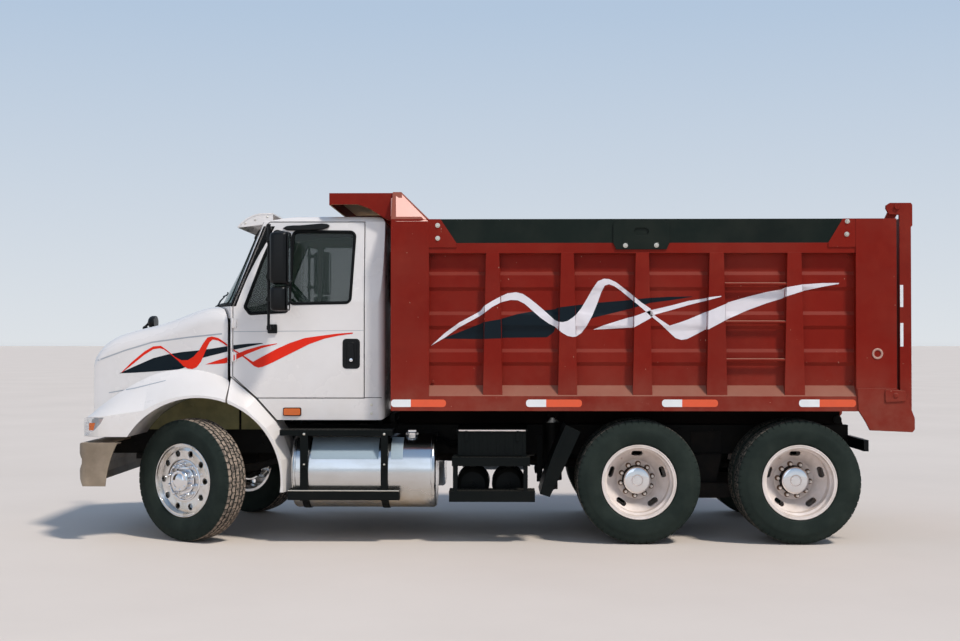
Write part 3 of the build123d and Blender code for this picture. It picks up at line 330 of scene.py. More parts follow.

# painted sunlight: pale pink for the canopy's wing, with paler patches on its top faces
M["red_lit"] = dust(plain("bed_wing", colour(238, 176, 160), 0.55, bevel=0.004), colour(238, 196, 180), ledges=0.5,
                    patches=0.35, scale=4)
M["green"] = plain("board_green", colour(13, 24, 19), 0.5, bevel=0.004, specular=0.15)
tint(M["green"], noise_mask(M["green"].node_tree, 1.4, 0.4, 0.7), colour(9, 19, 15), 0.5)
dust(M["green"], colour(110, 104, 90), ledges=0.6, patches=0.05, scale=2.6)
M["frame_black"] = dust(plain("chassis_black", colour(8, 9, 9), 0.55, bevel=0.004, specular=0.15), colour(74, 64, 54), ledges=0.5,
                        patches=0.12, scale=2.0, low=(0.2, 1.0, 0.2))
M["step_black"] = dust(plain("step_black", colour(4, 9, 9), 0.45, bevel=0.003, specular=0.12), colour(70, 66, 60),
                       ledges=0.3, patches=0.03, scale=3.0, low=(0.2, 0.9, 0.06))
M["iron"] = bumpy(dust(plain("iron", colour(22, 20, 19), 0.75, bevel=0.004, specular=0.25), colour(78, 66, 55), ledges=0.5,
                       patches=0.25, scale=4.0), 60, 0.3, 0.003)
M["bumper"] = plain("bumper_grey", colour(138, 122, 102), 0.42, bevel=0.006)
tint(M["bumper"], noise_mask(M["bumper"].node_tree, 2.2, 0.35, 0.7), colour(116, 101, 84), 0.6)
dust(M["bumper"], colour(178, 160, 140), ledges=0.5, patches=0.25, scale=5, low=(0.45, 0.8, 0.4))
M["alloy"] = plain("tank_alloy", colour(214, 216, 218), 0.17, metal=1.0)
at = M["alloy"].node_tree
tint(M["alloy"], math_node(at, "MULTIPLY", noise_mask(at, 2.4, 0.4, 0.75, stretch=(0.6, 1, 1.6)), 0.6),
     colour(186, 182, 174), 0.34)
tint(M["alloy"], math_node(at, "MULTIPLY", ramp(at, axis_of(at, position(at), 2), 0.30, 0.56, 1, 0),
                           noise_mask(at, 3.0, 0.25, 0.6)), colour(176, 160, 136), 0.5)
bumpy(M["alloy"], 2.0, 0.05, 0.01, detail=1)
M["rim_alloy"] = plain("rim_alloy", colour(224, 222, 220), 0.14, metal=1.0, bevel=0.003)
tint(M["rim_alloy"], noise_mask(M["rim_alloy"].node_tree, 9, 0.45, 0.75), colour(196, 186, 172), 0.34)
M["chrome"] = plain("chrome", colour(232, 232, 234), 0.06, metal=1.0)
M["nut"] = bumpy(plain("nut", colour(112, 90, 74), 0.75, bevel=0.002, specular=0.2), 60, 0.3, 0.002)
M["stud"] = bumpy(plain("stud", colour(236, 226, 216), 0.5, bevel=0.002), 80, 0.2, 0.001)
M["tread_alloy"] = bumpy(plain("tread_alloy", colour(150, 164, 172), 0.5, metal=0.45), 60, 0.15, 0.001)
M["rim_white"] = plain("rim_white", colour(226, 214, 208), 0.42, bevel=0.004)
tint(M["rim_white"], noise_mask(M["rim_white"].node_tree, 5, 0.4, 0.75), colour(206, 192, 182), 0.6)
dust(M["rim_white"], colour(176, 156, 140), ledges=0.45, patches=0.28, scale=9)
M["tyre"] = plain("tyre", colour(26, 35, 31), 0.8, specular=0.2)
tint(M["tyre"], noise_mask(M["tyre"].node_tree, 6, 0.38, 0.72), colour(40, 48, 43), 0.88)
bumpy(M["tyre"], 90, 0.25, 0.002)
M["tread"] = plain("tread", colour(150, 134, 120), 0.92, specular=0.2)
tint(M["tread"], noise_mask(M["tread"].node_tree, 26, 0.44, 0.62), colour(88, 80, 74), 0.92)
M["tread_dark"] = plain("tread_dark", colour(58, 57, 53), 0.9, specular=0.2)
tint(M["tread_dark"], noise_mask(M["tread_dark"].node_tree, 22, 0.45, 0.65), colour(112, 102, 92), 0.92)
M["rubber"] = bumpy(plain("rubber", colour(6, 8, 9), 0.6, specular=0.15), 120, 0.15, 0.001)
M["black_plastic"] = bumpy(dust(plain("trim_black", colour(7, 9, 11), 0.34, bevel=0.003, specular=0.22), colour(80, 74, 66),
                                ledges=0.12, patches=0.03, scale=7), 160, 0.12, 0.001)
M["black_gloss"] = plain("black_gloss", colour(14, 15, 16), 0.16, coat=0.6)
M["cabin"] = bumpy(plain("cabin_plastic", colour(44, 44, 46), 0.68), 220, 0.25, 0.001)
M["cabin_dark"] = bumpy(plain("cabin_dark", colour(16, 16, 18), 0.6), 220, 0.2, 0.001)
M["olive"] = plain("arch_liner", colour(150, 144, 100), 0.85)
tint(M["olive"], noise_mask(M["olive"].node_tree, 4, 0.35, 0.7), colour(112, 108, 76), 0.9)
bumpy(M["olive"], 30, 0.35, 0.004)
M["amber"] = plain("amber", colour(206, 96, 20), 0.2, coat=0.4)
M["lamp_red"] = plain("lamp_red", colour(170, 18, 20), 0.12, coat=0.8)
M["lamp_white"] = plain("lamp_white", colour(236, 236, 232), 0.12, coat=0.8)
M["sticker_white"] = plain("sticker_white", colour(228, 228, 228), 0.35, coat=0.2)
M["sticker_orange"] = plain("sticker_orange", colour(222, 84, 42), 0.35, coat=0.2)
M["stripe_red"] = plain("stripe_red", colour(220, 38, 12), 0.35, specular=0.2)
M["stripe_white"] = plain("stripe_white", colour(222, 216, 220), 0.35, coat=0.2)
M["stripe_black"] = plain("stripe_black", colour(8, 22, 30), 0.4, specular=0.15)
M["ring_steel"] = bumpy(plain("ring_steel", colour(178, 138, 124), 0.6), 50, 0.2, 0.002)
# painted shade: grey for the thin lines along the hood's and doors' folds
M["crease"] = plain("crease", colour(160, 164, 170), 0.35, coat=0.3)
M["bolt"] = bumpy(plain("bolt", colour(206, 200, 188), 0.35, metal=0.85), 80, 0.2, 0.001)
M["steel"] = bumpy(plain("steel", colour(150, 148, 144), 0.32, metal=1.0), 40, 0.1, 0.001, stretch=(1, 1, 6))
for key in ("stripe_red", "stripe_white", "stripe_black", "sticker_white", "sticker_orange", "amber", "chrome",
            "black_gloss", "lamp_red", "lamp_white", "crease"):
    t = M[key].node_tree
    low = tuple(c * 0.86 for c in M[key].diffuse_color[:3])
    tint(M[key], math_node(t, "MULTIPLY", noise_mask(t, 8, 0.42, 0.75), 0.6), low)


def glassy(name, shade, alpha, rough=0.03):
    """Clear sheet: lets the light straight through, with its reflection."""
    m = plain(name, shade, rough, coat=0.0, alpha=1.0)
    t = m.node_tree
    b = t.nodes["Principled BSDF"]
    b.inputs["IOR"].default_value = 1.45
    wave = noise_mask(t, 1.3, 0.2, 0.9)
    t.links.new(ramp(t, wave, 0, 1, alpha * 0.92, alpha * 1.08), b.inputs["Alpha"])
    return m


M["glass"] = glassy("glass", colour(30, 44, 36), 0.45)
M["screen"] = glassy("screen_glass", colour(66, 100, 72), 0.66)
M["screen_edge"] = plain("screen_edge", colour(58, 84, 66), 0.12, specular=0.5)
tint(M["screen_edge"], noise_mask(M["screen_edge"].node_tree, 3, 0.35, 0.7), colour(44, 68, 56))
M["lens"] = glassy("lamp_glass", colour(224, 226, 228), 0.34)
M["mirror"] = plain("mirror", colour(210, 216, 220), 0.03, metal=1.0)
tint(M["mirror"], noise_mask(M["mirror"].node_tree, 12, 0.6, 0.8), colour(190, 190, 188), 0.12)

M["fabric"] = plain("seat_fabric", colour(48, 50, 58), 0.9, specular=0.2)
M["fabric"].node_tree.nodes["Principled BSDF"].inputs["Sheen Weight"].default_value = 0.3
tint(M["fabric"], noise_mask(M["fabric"].node_tree, 420, 0.42, 0.6, detail=2), colour(70, 72, 80))
bumpy(M["fabric"], 700, 0.4, 0.001, kind="voronoi")
M["seam"] = plain("seam", colour(24, 24, 28), 0.85)
tint(M["seam"], noise_mask(M["seam"].node_tree, 500, 0.45, 0.6, detail=1), colour(40, 40, 46))

PAINT = {
    "cab_shell": "white", "sun_visor": "white", "cab_fenders": "white", "door_left": "white", "door_right": "white",
    "hood": "white", "headlights": "lens", "grille": "black_plastic", "cab_windows": "screen",
    "door_glass_left": "glass", "door_glass_right": "glass", "mirror_left": "black_plastic",
    "mirror_right": "black_plastic", "dashboard": "cabin_dark", "seat_bases": "cabin_dark",
    "steering_wheel": "cabin_dark", "bumper": "bumper", "ladder_frame": "frame_black", "cross_members": "frame_black", "front_axle": "iron",
    "leaf_springs": "iron", "rear_axles": "iron", "rear_suspension": "iron", "engine_block": "iron",
    "driveline": "iron", "radiator": "frame_black", "fuel_tanks": "alloy", "tank_steps": "step_black",
    "battery_box": "step_black", "air_tanks": "step_black", "muffler": "steel", "quarter_fenders": "step_black",
    "rear_light_bars": "black_plastic", "knuckle_left": "iron", "knuckle_right": "iron", "tie_rod": "iron",
    "front_rim_left": "rim_alloy", "front_rim_right": "rim_alloy", "bed_floor": "red", "bed_sides": "red",
    "bed_headboard": "red", "side_boards": "green", "tailgate": "red", "hoist_barrels": "frame_black",
    "hoist_stage_1": "steel", "hoist_stage_2": "steel", "hoist_stage_3": "steel", "hoist_stage_4": "steel",
}
for axle in ("front", "rear"):
    for side, s in SIDES:
        PAINT[f"{axle}_dual_rims_{side}"] = "rim_white"
for name, key in PAINT.items():
    nodes[name].data.materials.clear()
    nodes[name].data.materials.append(M[key])


# =====================================================================
# pieces in mesh code, millimetres in the frame
# =====================================================================
class Shape:
    def __init__(self):
        self.v, self.f, self.m = [], [], []

    def add(self, points, faces, mat=0):
        base = len(self.v)
        self.v += [tuple(p) for p in points]
        self.f += [tuple(base + i for i in f) for f in faces]
        self.m += [mat] * len(faces)
        return self

    def box(self, x0, x1, y0, y1, z0, z1, mat=0):
        p = [(x, y, z) for x in (x0, x1) for y in (y0, y1) for z in (z0, z1)]
        return self.add(p, [(0, 1, 3, 2), (4, 6, 7, 5), (0, 4, 5, 1), (2, 3, 7, 6), (0, 2, 6, 4), (1, 5, 7, 3)], mat)

    def prism(self, points, origin, u, v, push, mat=0):
        """Outline in (u, v) from origin, pushed along push."""
        o, u, v, d = Vector(origin), Vector(u), Vector(v), Vector(push)
        base = [o + u * a + v * b for a, b in points]
        n = len(base)
        top = [p + d for p in base]
        faces = [tuple(range(n - 1, -1, -1)), tuple(range(n, 2 * n))]
        faces += [(i, (i + 1) % n, n + (i + 1) % n, n + i) for i in range(n)]
        return self.add(base + top, faces, mat)

    def turned(self, centre, axis, profile, n=32, mat=0, start=0.0, closed=False):
        """Profile of (along axis, radius) turned about the axis."""
        c, a = Vector(centre), Vector(axis).normalized()
        e1 = a.orthogonal().normalized() if abs(a.z) > 0.9 else Vector((0, 0, 1)).cross(a).normalized()
        e2 = a.cross(e1)
        k = len(profile)
        pts = []
        for i in range(n):
            w = start + 2 * math.pi * i / n
            d = e1 * math.cos(w) + e2 * math.sin(w)
            pts += [c + a * h + d * r for h, r in profile]
        faces = []
        last = k if closed else k - 1
        for i in range(n):
            j = (i + 1) % n
            for q in range(last):
                r = (q + 1) % k
                faces.append((i * k + q, j * k + q, j * k + r, i * k + r))
        if not closed:
            for q in (0, k - 1):
                if profile[q][1] > 1e-6:
                    faces.append(tuple(i * k + q for i in (range(n) if q == 0 else range(n - 1, -1, -1))))
        return self.add(pts, faces, mat)

    def hexnut(self, centre, axis, across, height, mat=0, start=0.0):
        r = across / 2 / math.cos(math.pi / 6)
        return self.turned(centre, axis, [(0, 0), (0, r), (height * 0.85, r), (height, r * 0.86), (height, 0)], 6, mat,
                           start)

    def tube(self, path, radius, n=12, mat=0, closed=False):
        pts = [Vector(p) for p in path]
        rings = []
        side = None
        for i, p in enumerate(pts):
            if closed:
                d = (pts[(i + 1) % len(pts)] - pts[i - 1]).normalized()
            else:
                d = (pts[min(i + 1, len(pts) - 1)] - pts[max(i - 1, 0)]).normalized()
            side = d.orthogonal().normalized() if side is None else (side - d * side.dot(d)).normalized()
            other = d.cross(side)
            r = radius[i] if isinstance(radius, (list, tuple)) else radius
            rings.append([p + (side * math.cos(2 * math.pi * q / n) + other * math.sin(2 * math.pi * q / n)) * r
                          for q in range(n)])
        flat = [p for ring in rings for p in ring]
        faces = []
        m = len(rings)
        for i in range(m if closed else m - 1):
            j = (i + 1) % m
            for q in range(n):
                w = (q + 1) % n
                faces.append((i * n + q, j * n + q, j * n + w, i * n + w))
        if not closed:
            faces += [tuple(range(n - 1, -1, -1)), tuple((m - 1) * n + q for q in range(n))]
        return self.add(flat, faces, mat)

    def piece(self, name, body, *materials, smooth=35, bevel=0.0, segments=2, slot=None, flip=True):
        mesh = bpy.data.meshes.new(name)
        mesh.from_pydata([(x * 0.001, y * 0.001, z * 0.001) for x, y, z in self.v], [], self.f)
        for key in materials:
            mesh.materials.append(M[key])
        mesh.polygons.foreach_set("material_index", self.m)
        b = bmesh.new()
        b.from_mesh(mesh)
        bmesh.ops.remove_doubles(b, verts=b.verts, dist=1e-6)
        if flip:
            bmesh.ops.recalc_face_normals(b, faces=b.faces)
        b.to_mesh(mesh)
        b.free()
        mesh.polygons.foreach_set("use_smooth", [True] * len(mesh.polygons))
        mesh.set_sharp_from_angle(angle=math.radians(smooth))
        o = bpy.data.objects.new(name, mesh)
        bpy.context.scene.collection.objects.link(o)
        if bevel:
            mod = o.modifiers.new("edges", "BEVEL")
            mod.width = bevel * 0.001
            mod.segments = segments
            mod.limit_method = "ANGLE"
            mod.angle_limit = math.radians(32)
            mod.harden_normals = True
        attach(o, body)
        if slot:
            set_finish(o, slot)
        return o


def rounded(points, radius, n=5):
    """Outline with each corner rounded."""
    out = []
    k = len(points)
    for i in range(k):
        p, a, b = Vector(points[i]), Vector(points[i - 1]), Vector(points[(i + 1) % k])
        u, v = (a - p).normalized(), (b - p).normalized()
        half = math.acos(max(-1, min(1, u.dot(v)))) / 2
        cut = min(radius / math.tan(half), (a - p).length / 2.05, (b - p).length / 2.05)
        r = cut * math.tan(half)
        centre = p + (u + v).normalized() * (r / math.sin(half))
        s, e = p + u * cut - centre, p + v * cut - centre
        a0 = math.atan2(s.y, s.x)
        turn = (math.atan2(e.y, e.x) - a0 + math.pi) % (2 * math.pi) - math.pi
        out += [(centre.x + r * math.cos(a0 + turn * q / n), centre.y + r * math.sin(a0 + turn * q / n))
                for q in range(n + 1)]
    return out


def offset_outline(points, d):
    """Moves a counter-clockwise outline outwards by d."""
    area = sum(points[i - 1][0] * p[1] - p[0] * points[i - 1][1] for i, p in enumerate(points))
    d = d if area > 0 else -d
    out = []
    k = len(points)
    for i in range(k):
        a, p, b = Vector(points[i - 1]), Vector(points[i]), Vector(points[(i + 1) % k])
        u = (p - a).normalized() if (p - a).length > 1e-6 else (b - p).normalized()
        v = (b - p).normalized() if (b - p).length > 1e-6 else u
        t = (u + v).normalized()
        nrm = Vector((t.y, -t.x))
        out.append(tuple(p + nrm * (d / max(0.4, nrm.dot(Vector((u.y, -u.x)))))))
    return out


def mirrored(o, name, body, slot=None):
    """The same piece on the other side of the truck."""
    mesh = o.data.copy()
    mesh.transform(o.matrix_world)
    for v in mesh.vertices:
        v.co.y = -v.co.y
    mesh.flip_normals()
    twin = bpy.data.objects.new(name, mesh)
    bpy.context.scene.collection.objects.link(twin)
    for mod in o.modifiers:
        if mod.type == "BEVEL":
            made = twin.modifiers.new(mod.name, "BEVEL")
            for key in ("width", "segments", "limit_method", "angle_limit", "harden_normals"):
                setattr(made, key, getattr(mod, key))
    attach(twin, body)
    if slot or "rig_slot" in o:
        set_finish(twin, slot or o["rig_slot"])
    return twin


def surface_of(*names):
    """Ray target made of CAD nodes, in millimetres."""
    verts, polys = [], []
    for n in names:
        base = len(verts)
        verts += [v.co * 1000 for v in nodes[n].data.vertices]
        polys += [tuple(base + i for i in p.vertices) for p in nodes[n].data.polygons]
    return BVHTree.FromPolygons(verts, polys)


def clip(poly, window):
    """Cuts a convex piece to a convex window, both in 2-D."""
    area = sum(window[i - 1][0] * p[1] - p[0] * window[i - 1][1] for i, p in enumerate(window))
    turn = 1 if area > 0 else -1
    out = [Vector(p) for p in poly]
    for i in range(len(window)):
        a, b = Vector(window[i - 1]), Vector(window[i])
        e = b - a
        kept, source = [], out
        if not source:
            return []
        d = [turn * (e.x * (p.y - a.y) - e.y * (p.x - a.x)) for p in source]
        for j, p in enumerate(source):
            q, dp, dq = source[j - 1], d[j], d[j - 1]
            if (dp >= 0) != (dq >= 0):
                kept.append(q + (p - q) * (dq / (dq - dp)))
            if dp >= 0:
                kept.append(p)
        out = kept
    return out


def triangles(poly):
    pts = [Vector((x, y, 0)) for x, y in poly]
    return [[poly[i] for i in tri] for tri in geometry.tessellate_polygon([pts])]


def split_small(poly, size):
    """Cuts a convex piece into square cells so that it can follow a curved surface."""
    xs, ys = [p[0] for p in poly], [p[1] for p in poly]
    out = []
    for i in range(math.floor(min(xs) / size), math.floor(max(xs) / size) + 1):
        for j in range(math.floor(min(ys) / size), math.floor(max(ys) / size) + 1):
            cell = [(i * size, j * size), ((i + 1) * size, j * size), ((i + 1) * size, (j + 1) * size),
                    (i * size, (j + 1) * size)]
            got = clip(poly, cell)
            if len(got) > 2:
                out.append(got)
    return out


def painted(name, body, key, poly, target, lift, window=None, size=9.0, slot=None):
    """Thin layer of paint: an outline in the picture, laid on the CAD surface behind it."""
    s = Shape()
    for tri in triangles(poly):
        part = clip(tri, window) if window else [Vector(p) for p in tri]
        if len(part) < 3:
            continue
        for cell in split_small(part, size):
            pts, good = [], True
            for p in cell:
                hit, normal, index, dist = target.ray_cast(CAM, sight(p.x, p.y))
                if hit is None:
                    good = False
                    break
                out = normal if normal.dot(hit - CAM) < 0 else -normal
                pts.append(hit + out * lift)
            if good and max((a - b).length for a in pts for b in pts) < 260:
                s.add(pts, [tuple(range(len(pts)))])
    o = s.piece(name, body, key, slot=slot, flip=False)
    face_out(o)
    return o


def face_out(o, direction=(0, -1, 0)):
    b = bmesh.new()
    b.from_mesh(o.data)
    d = Vector(direction)
    for f in b.faces:
        if f.normal.dot(d) < 0:
            f.normal_flip()
    b.to_mesh(o.data)
    b.free()


def crop(points, x, y, k):
    """Places read off an enlarged part of the photograph, back to the whole picture."""
    return [(x + a / k, y + b / k) for a, b in points]


# =====================================================================
# tyres
# =====================================================================
SIDEWALL = [(102, 313), (105, 327), (113, 331), (122, 338), (126.5, 345), (128, 351), (135, 385), (139, 415),
            (139.6, 440), (137.2, 463), (135, 467), (130.5, 490), (125, 508), (120, 522), (115, 531)]
CROWN = [(110, 0), (94, 0), (79, 0), (76.5, 1), (68.5, 1), (66, 0), (49, 0), (33, 0), (30.5, 1), (22.5, 1), (20, 0),
         (0, 0)]
STEP = (0.0, 0.03, 0.10, 0.13, 0.5, 0.53, 0.60, 0.63)


def tyre(shape, centre, axis, periods=56, deep=12.0):
    c, a = Vector(centre), Vector(axis).normalized()
    e1 = Vector((0, 0, 1)).cross(a).normalized()
    e2 = a.cross(e1)
    cols = [(h, r, 2 if r > 515 else 3, 0) for h, r in SIDEWALL]
    cols += [(h, 545 - 9 * (h / 112) ** 2, 0, g) for h, g in CROWN]
    cols += [(-h, 545 - 9 * (h / 112) ** 2, 0, g) for h, g in reversed(CROWN[:-1])]
    cols += [(-h, r, 2 if r > 515 else 3, 0) for h, r in reversed(SIDEWALL)]
    k = len(cols)
    pts, low = [], []
    for i in range(periods):
        for q, part in enumerate(STEP):
            w = 2 * math.pi * (i + part) / periods
            d = e1 * math.cos(w) + e2 * math.sin(w)
            first, second = q in (1, 2), q in (5, 6)
            zig = 4.0 * (1 if q < 4 else -1)
            for h, r, kind, groove in cols:
                x, rr, down = h, r, False
                if kind == 0:
                    side = abs(h)
                    if groove or side in (79, 66, 33, 20):
                        x = h + zig * (1 if h > 0 else -1)
                    if groove:
                        rr -= deep
                        down = True
                    elif (side >= 79 and first) or (33 <= side <= 66 and second) or (side <= 20 and first):
                        rr -= deep * 0.8
                        down = True
                elif kind == 2 and first:
                    rr -= 7
                    x -= 3 * (1 if h > 0 else -1)
                pts.append(c + a * x + d * rr)
                low.append(down)
    n = periods * len(STEP)
    top, wall = [], []
    for i in range(n):
        j = (i + 1) % n
        for q in range(k - 1):
            face = (i * k + q, j * k + q, j * k + q + 1, i * k + q + 1)
            crown = len(SIDEWALL) <= q < k - len(SIDEWALL) - 1
            (top if crown and not any(low[x] for x in face) else wall).append(face)
    base = len(shape.v)
    shape.v += [tuple(p) for p in pts]
    shape.f += [tuple(base + x for x in f) for f in wall + top]
    shape.m += [0] * len(wall) + [1] * len(top)
    # bead, so that the tyre is closed
    inner = Shape().turned(centre, axis, [(102, 313), (-102, 313)], 64)
    shape.add(inner.v, inner.f[:64], 0)


COS30 = math.cos(math.radians(30))
for side, s in SIDES:
    out = Vector((0.5 * s, COS30 * s, 0))
    hub = Vector((-2600 + 95 * s, (840 + 190 * COS30) * s, 545))
    shape = Shape()
    tyre(shape, hub, out)
    o = shape.piece(f"tyre_front_{side}", f"wheel_front_{side}", "tyre", "tread", smooth=40, slot="tyre")
    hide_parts(f"front_tyre_{side}")

    # bright wheel: nut covers, hub cover, flange ring, valve
    e1 = Vector((0, 0, 1)).cross(out).normalized()
    e2 = out.cross(e1)
    shape = Shape()
    for k in range(10):
        w = math.radians(36 * k + 18)
        p = hub + (e1 * math.cos(w) + e2 * math.sin(w)) * 142.9
        shape.turned(p, out, [(93, 23), (98, 22), (101, 17.5), (136, 16.5), (146, 13.5), (151, 8), (152, 0)], 20)
    shape.turned(hub, out, [(92.5, 168), (98, 170), (101, 176), (99, 184), (92.5, 188)], 64, closed=True)
    shape.turned(hub, out, [(92.5, 99), (100, 124), (103, 118), (103, 99)], 64, closed=True)
    shape.turned(hub, out, [(100, 99.2), (152, 99.2), (161, 96), (168.6, 88.6), (169.5, 66), (175, 60), (181, 44),
                            (183.5, 22), (184, 0)], 56)
    for k in range(8):
        w = math.radians(45 * k + 10)
        p = hub + (e1 * math.cos(w) + e2 * math.sin(w)) * 79
        shape.hexnut(p + out * 168, out, 17, 8)
    w = math.radians(70)
    p = hub + (e1 * math.cos(w) + e2 * math.sin(w)) * 212
    shape.tube([p + out * 92, p + out * 112, p + out * 124 + e1 * 6], 5)
    shape.piece(f"hub_trim_front_{side}", f"wheel_front_{side}", "chrome", bevel=0.8, slot="rim_alloy")
    shape = Shape()
    shape.turned(hub, out, [(113, 314), (119.5, 316), (121.5, 322), (119.5, 327.5), (115, 328)], 72, closed=True)
    for k in range(10):
        w = math.radians(36 * k)
        p = hub + (e1 * math.cos(w) + e2 * math.sin(w)) * 245
        shape.turned(p, out, [(93.4, 27.2), (96.4, 28), (97.4, 30.5), (95.6, 32.5), (91.5, 33)], 20, closed=True)
    shape.piece(f"rim_edge_front_{side}", f"wheel_front_{side}", "rim_alloy", slot="rim_alloy")

for axle, x in (("front", 1283), ("rear", 2683)):
    for side, s in SIDES:
        body = f"duals_{axle}_{side}"
        out = Vector((0, s, 0))
        shape = Shape()
        for y in (760, 1080):
            tyre(shape, (x, s * y, 545), out)
        o = shape.piece(f"tyres_{axle}_{side}", body, "tyre", "tread_dark", smooth=40, slot="tyre")
        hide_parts(f"{axle}_dual_tyres_{side}")
        turn = 12 if axle == "front" else 30
        shape = Shape()
        chrome = Shape()
        for k in range(10):
            w = math.radians(36 * k + turn)
            p = Vector((x + 142.9 * math.cos(w), s * 934, 545 + 142.9 * math.sin(w)))
            shape.turned(p, out, [(0, 0), (0, 25), (3, 25), (5, 20), (5, 0)], 20)
            shape.hexnut(p + out * 4, out, 39, 30, start=w)
            shape.turned(p + out * 26, out, [(0, 14), (24, 13.5), (31, 10), (34, 0)], 14, mat=1)
        shape.piece(f"wheel_nuts_{axle}_{side}", body, "nut", "stud", bevel=0.8, slot="rim_white")
        shape = Shape()
        shape.turned((x, 0, 545), out, [(934.3, 113), (934.3, 127), (940, 127), (944, 121), (1016, 120), (1016, 113)],
                     56, closed=True)
        shape.piece(f"hub_wall_{axle}_{side}", body, "iron", slot="rim_white")
        chrome.turned((x, 0, 545), out, [(1008, 115), (1017, 120), (1024, 119.6), (1031, 113), (1035, 98), (1037.5, 74),
                                         (1040, 40), (1041.5, 0)], 56)
        chrome.piece(f"hub_cover_{axle}_{side}", body, "chrome", slot="rim_white")
        shape = Shape()
        shape.turned((x, 0, 545), out, [(1193, 314), (1199.5, 316), (1201.5, 322), (1199.5, 327.5), (1195, 328)], 72,
                     closed=True)
        shape.turned((x, 0, 545), out, [(1130, 297), (1137, 291), (1145, 297.5)], 72, closed=True)
        p = Vector((x + 232 * math.cos(2.2), s * 985, 545 + 232 * math.sin(2.2)))
        shape.tube([p, p + out * 36, p + out * 60 + Vector((10, 0, 8))], 5)
        shape.piece(f"rim_edge_{axle}_{side}", body, "rim_white", slot="rim_white")

# =====================================================================
# painted stripes
# =====================================================================
WAVE_TOP = crop([(295, 1080), (380, 1003), (460, 945), (520, 913), (583, 878), (605, 848), (650, 820), (700, 793),
                 (740, 775), (790, 768), (830, 778), (870, 805), (920, 845), (960, 880), (1015, 930), (1037, 940),
                 (1062, 942), (1090, 935), (1115, 918), (1135, 903), (1150, 885), (1170, 860), (1200, 810),
                 (1240, 740), (1265, 705), (1300, 690), (1330, 692), (1370, 710), (1410, 740), (1455, 775)],
                380, 160, 5.81)
WAVE_TOP += crop([(68, 700), (110, 722), (155, 752), (170, 783), (200, 805), (250, 838), (300, 822), (340, 808),
                  (430, 770), (447, 765), (535, 728), (547, 720), (640, 693), (740, 668), (815, 655), (835, 645),
                  (920, 630), (1020, 623), (1105, 622)], 620, 160, 5.058)[1:]
WAVE_LOW = crop([(1105, 627), (1020, 642), (928, 662), (920, 665), (835, 692), (815, 702), (740, 725), (640, 762),
                 (547, 803), (535, 810), (447, 857), (430, 858), (380, 885), (340, 905), (310, 910), (280, 900),
                 (250, 872), (200, 825), (165, 797), (155, 790), (110, 748), (68, 714)], 620, 160, 5.058)
WAVE_LOW += crop([(1400, 760), (1360, 733), (1330, 722), (1305, 730), (1285, 770), (1260, 840), (1235, 900),
                  (1200, 965), (1170, 1005), (1155, 1015), (1140, 1026), (1120, 1028), (1090, 1022), (1060, 1005),
                  (1035, 985), (1015, 968), (980, 950), (930, 915), (880, 870), (840, 835), (800, 815), (760, 813),
                  (717, 823), (700, 828), (650, 855), (600, 893), (583, 905), (520, 940), (460, 972), (380, 1030)],
                 380, 160, 5.81)
SPIKE = crop([(1240, 985), (1300, 960), (1370, 938), (1445, 915)], 380, 160, 5.81)
SPIKE += crop([(68, 792), (155, 760), (250, 738), (350, 712), (430, 700), (450, 694), (512, 687), (512, 692),
               (450, 708), (430, 713), (350, 733), (250, 762), (165, 785), (155, 800), (110, 825), (68, 848)],
              620, 160, 5.058)
SPIKE += crop([(1445, 975), (1380, 978), (1300, 983)], 380, 160, 5.81)
DARK = crop([(370, 1035), (583, 952), (600, 942), (700, 925), (720, 918), (800, 895), (870, 882), (930, 876),
             (1015, 867), (1035, 857), (1130, 845), (1150, 843), (1275, 828), (1440, 815)], 380, 160, 5.81)
DARK += crop([(68, 705), (155, 697), (250, 692), (365, 690), (365, 692), (250, 710), (155, 722), (68, 748)],
             620, 160, 5.058)
DARK += crop([(1440, 868), (1245, 915), (1180, 940), (1100, 960), (1018, 975), (1010, 1000), (970, 1030),
              (720, 1033), (700, 1036), (583, 1040), (370, 1038)], 380, 160, 5.81)
RIBS = ((-85, 87), (571, 740), (1224, 1395), (1868, 2048), (2545, 2722))
LEAN = 28 / 1255
BANDS = ((2255, 2400), (1915, 2050), (1595, 1722))


def flank(x, z, rib_side):
    """X of a rib's flank at height z; rib_side -1 for its front flank, 1 for its rear one."""
    return x - rib_side * LEAN * (z - 1300)


def panel_y(z):
    for z0, z1 in BANDS:
        if z0 - 40 <= z <= z1:
            here = 1186 - 18 * max((z0 - z) / 40, (z - z1 + 40) / 40, 0)
            return max(1172, here)
    return 1172


LEVELS = sorted({1392, 2550} | {v for z0, z1 in BANDS for v in (z0 - 31.1, z0, z1 - 40, z1 - 8.9)})


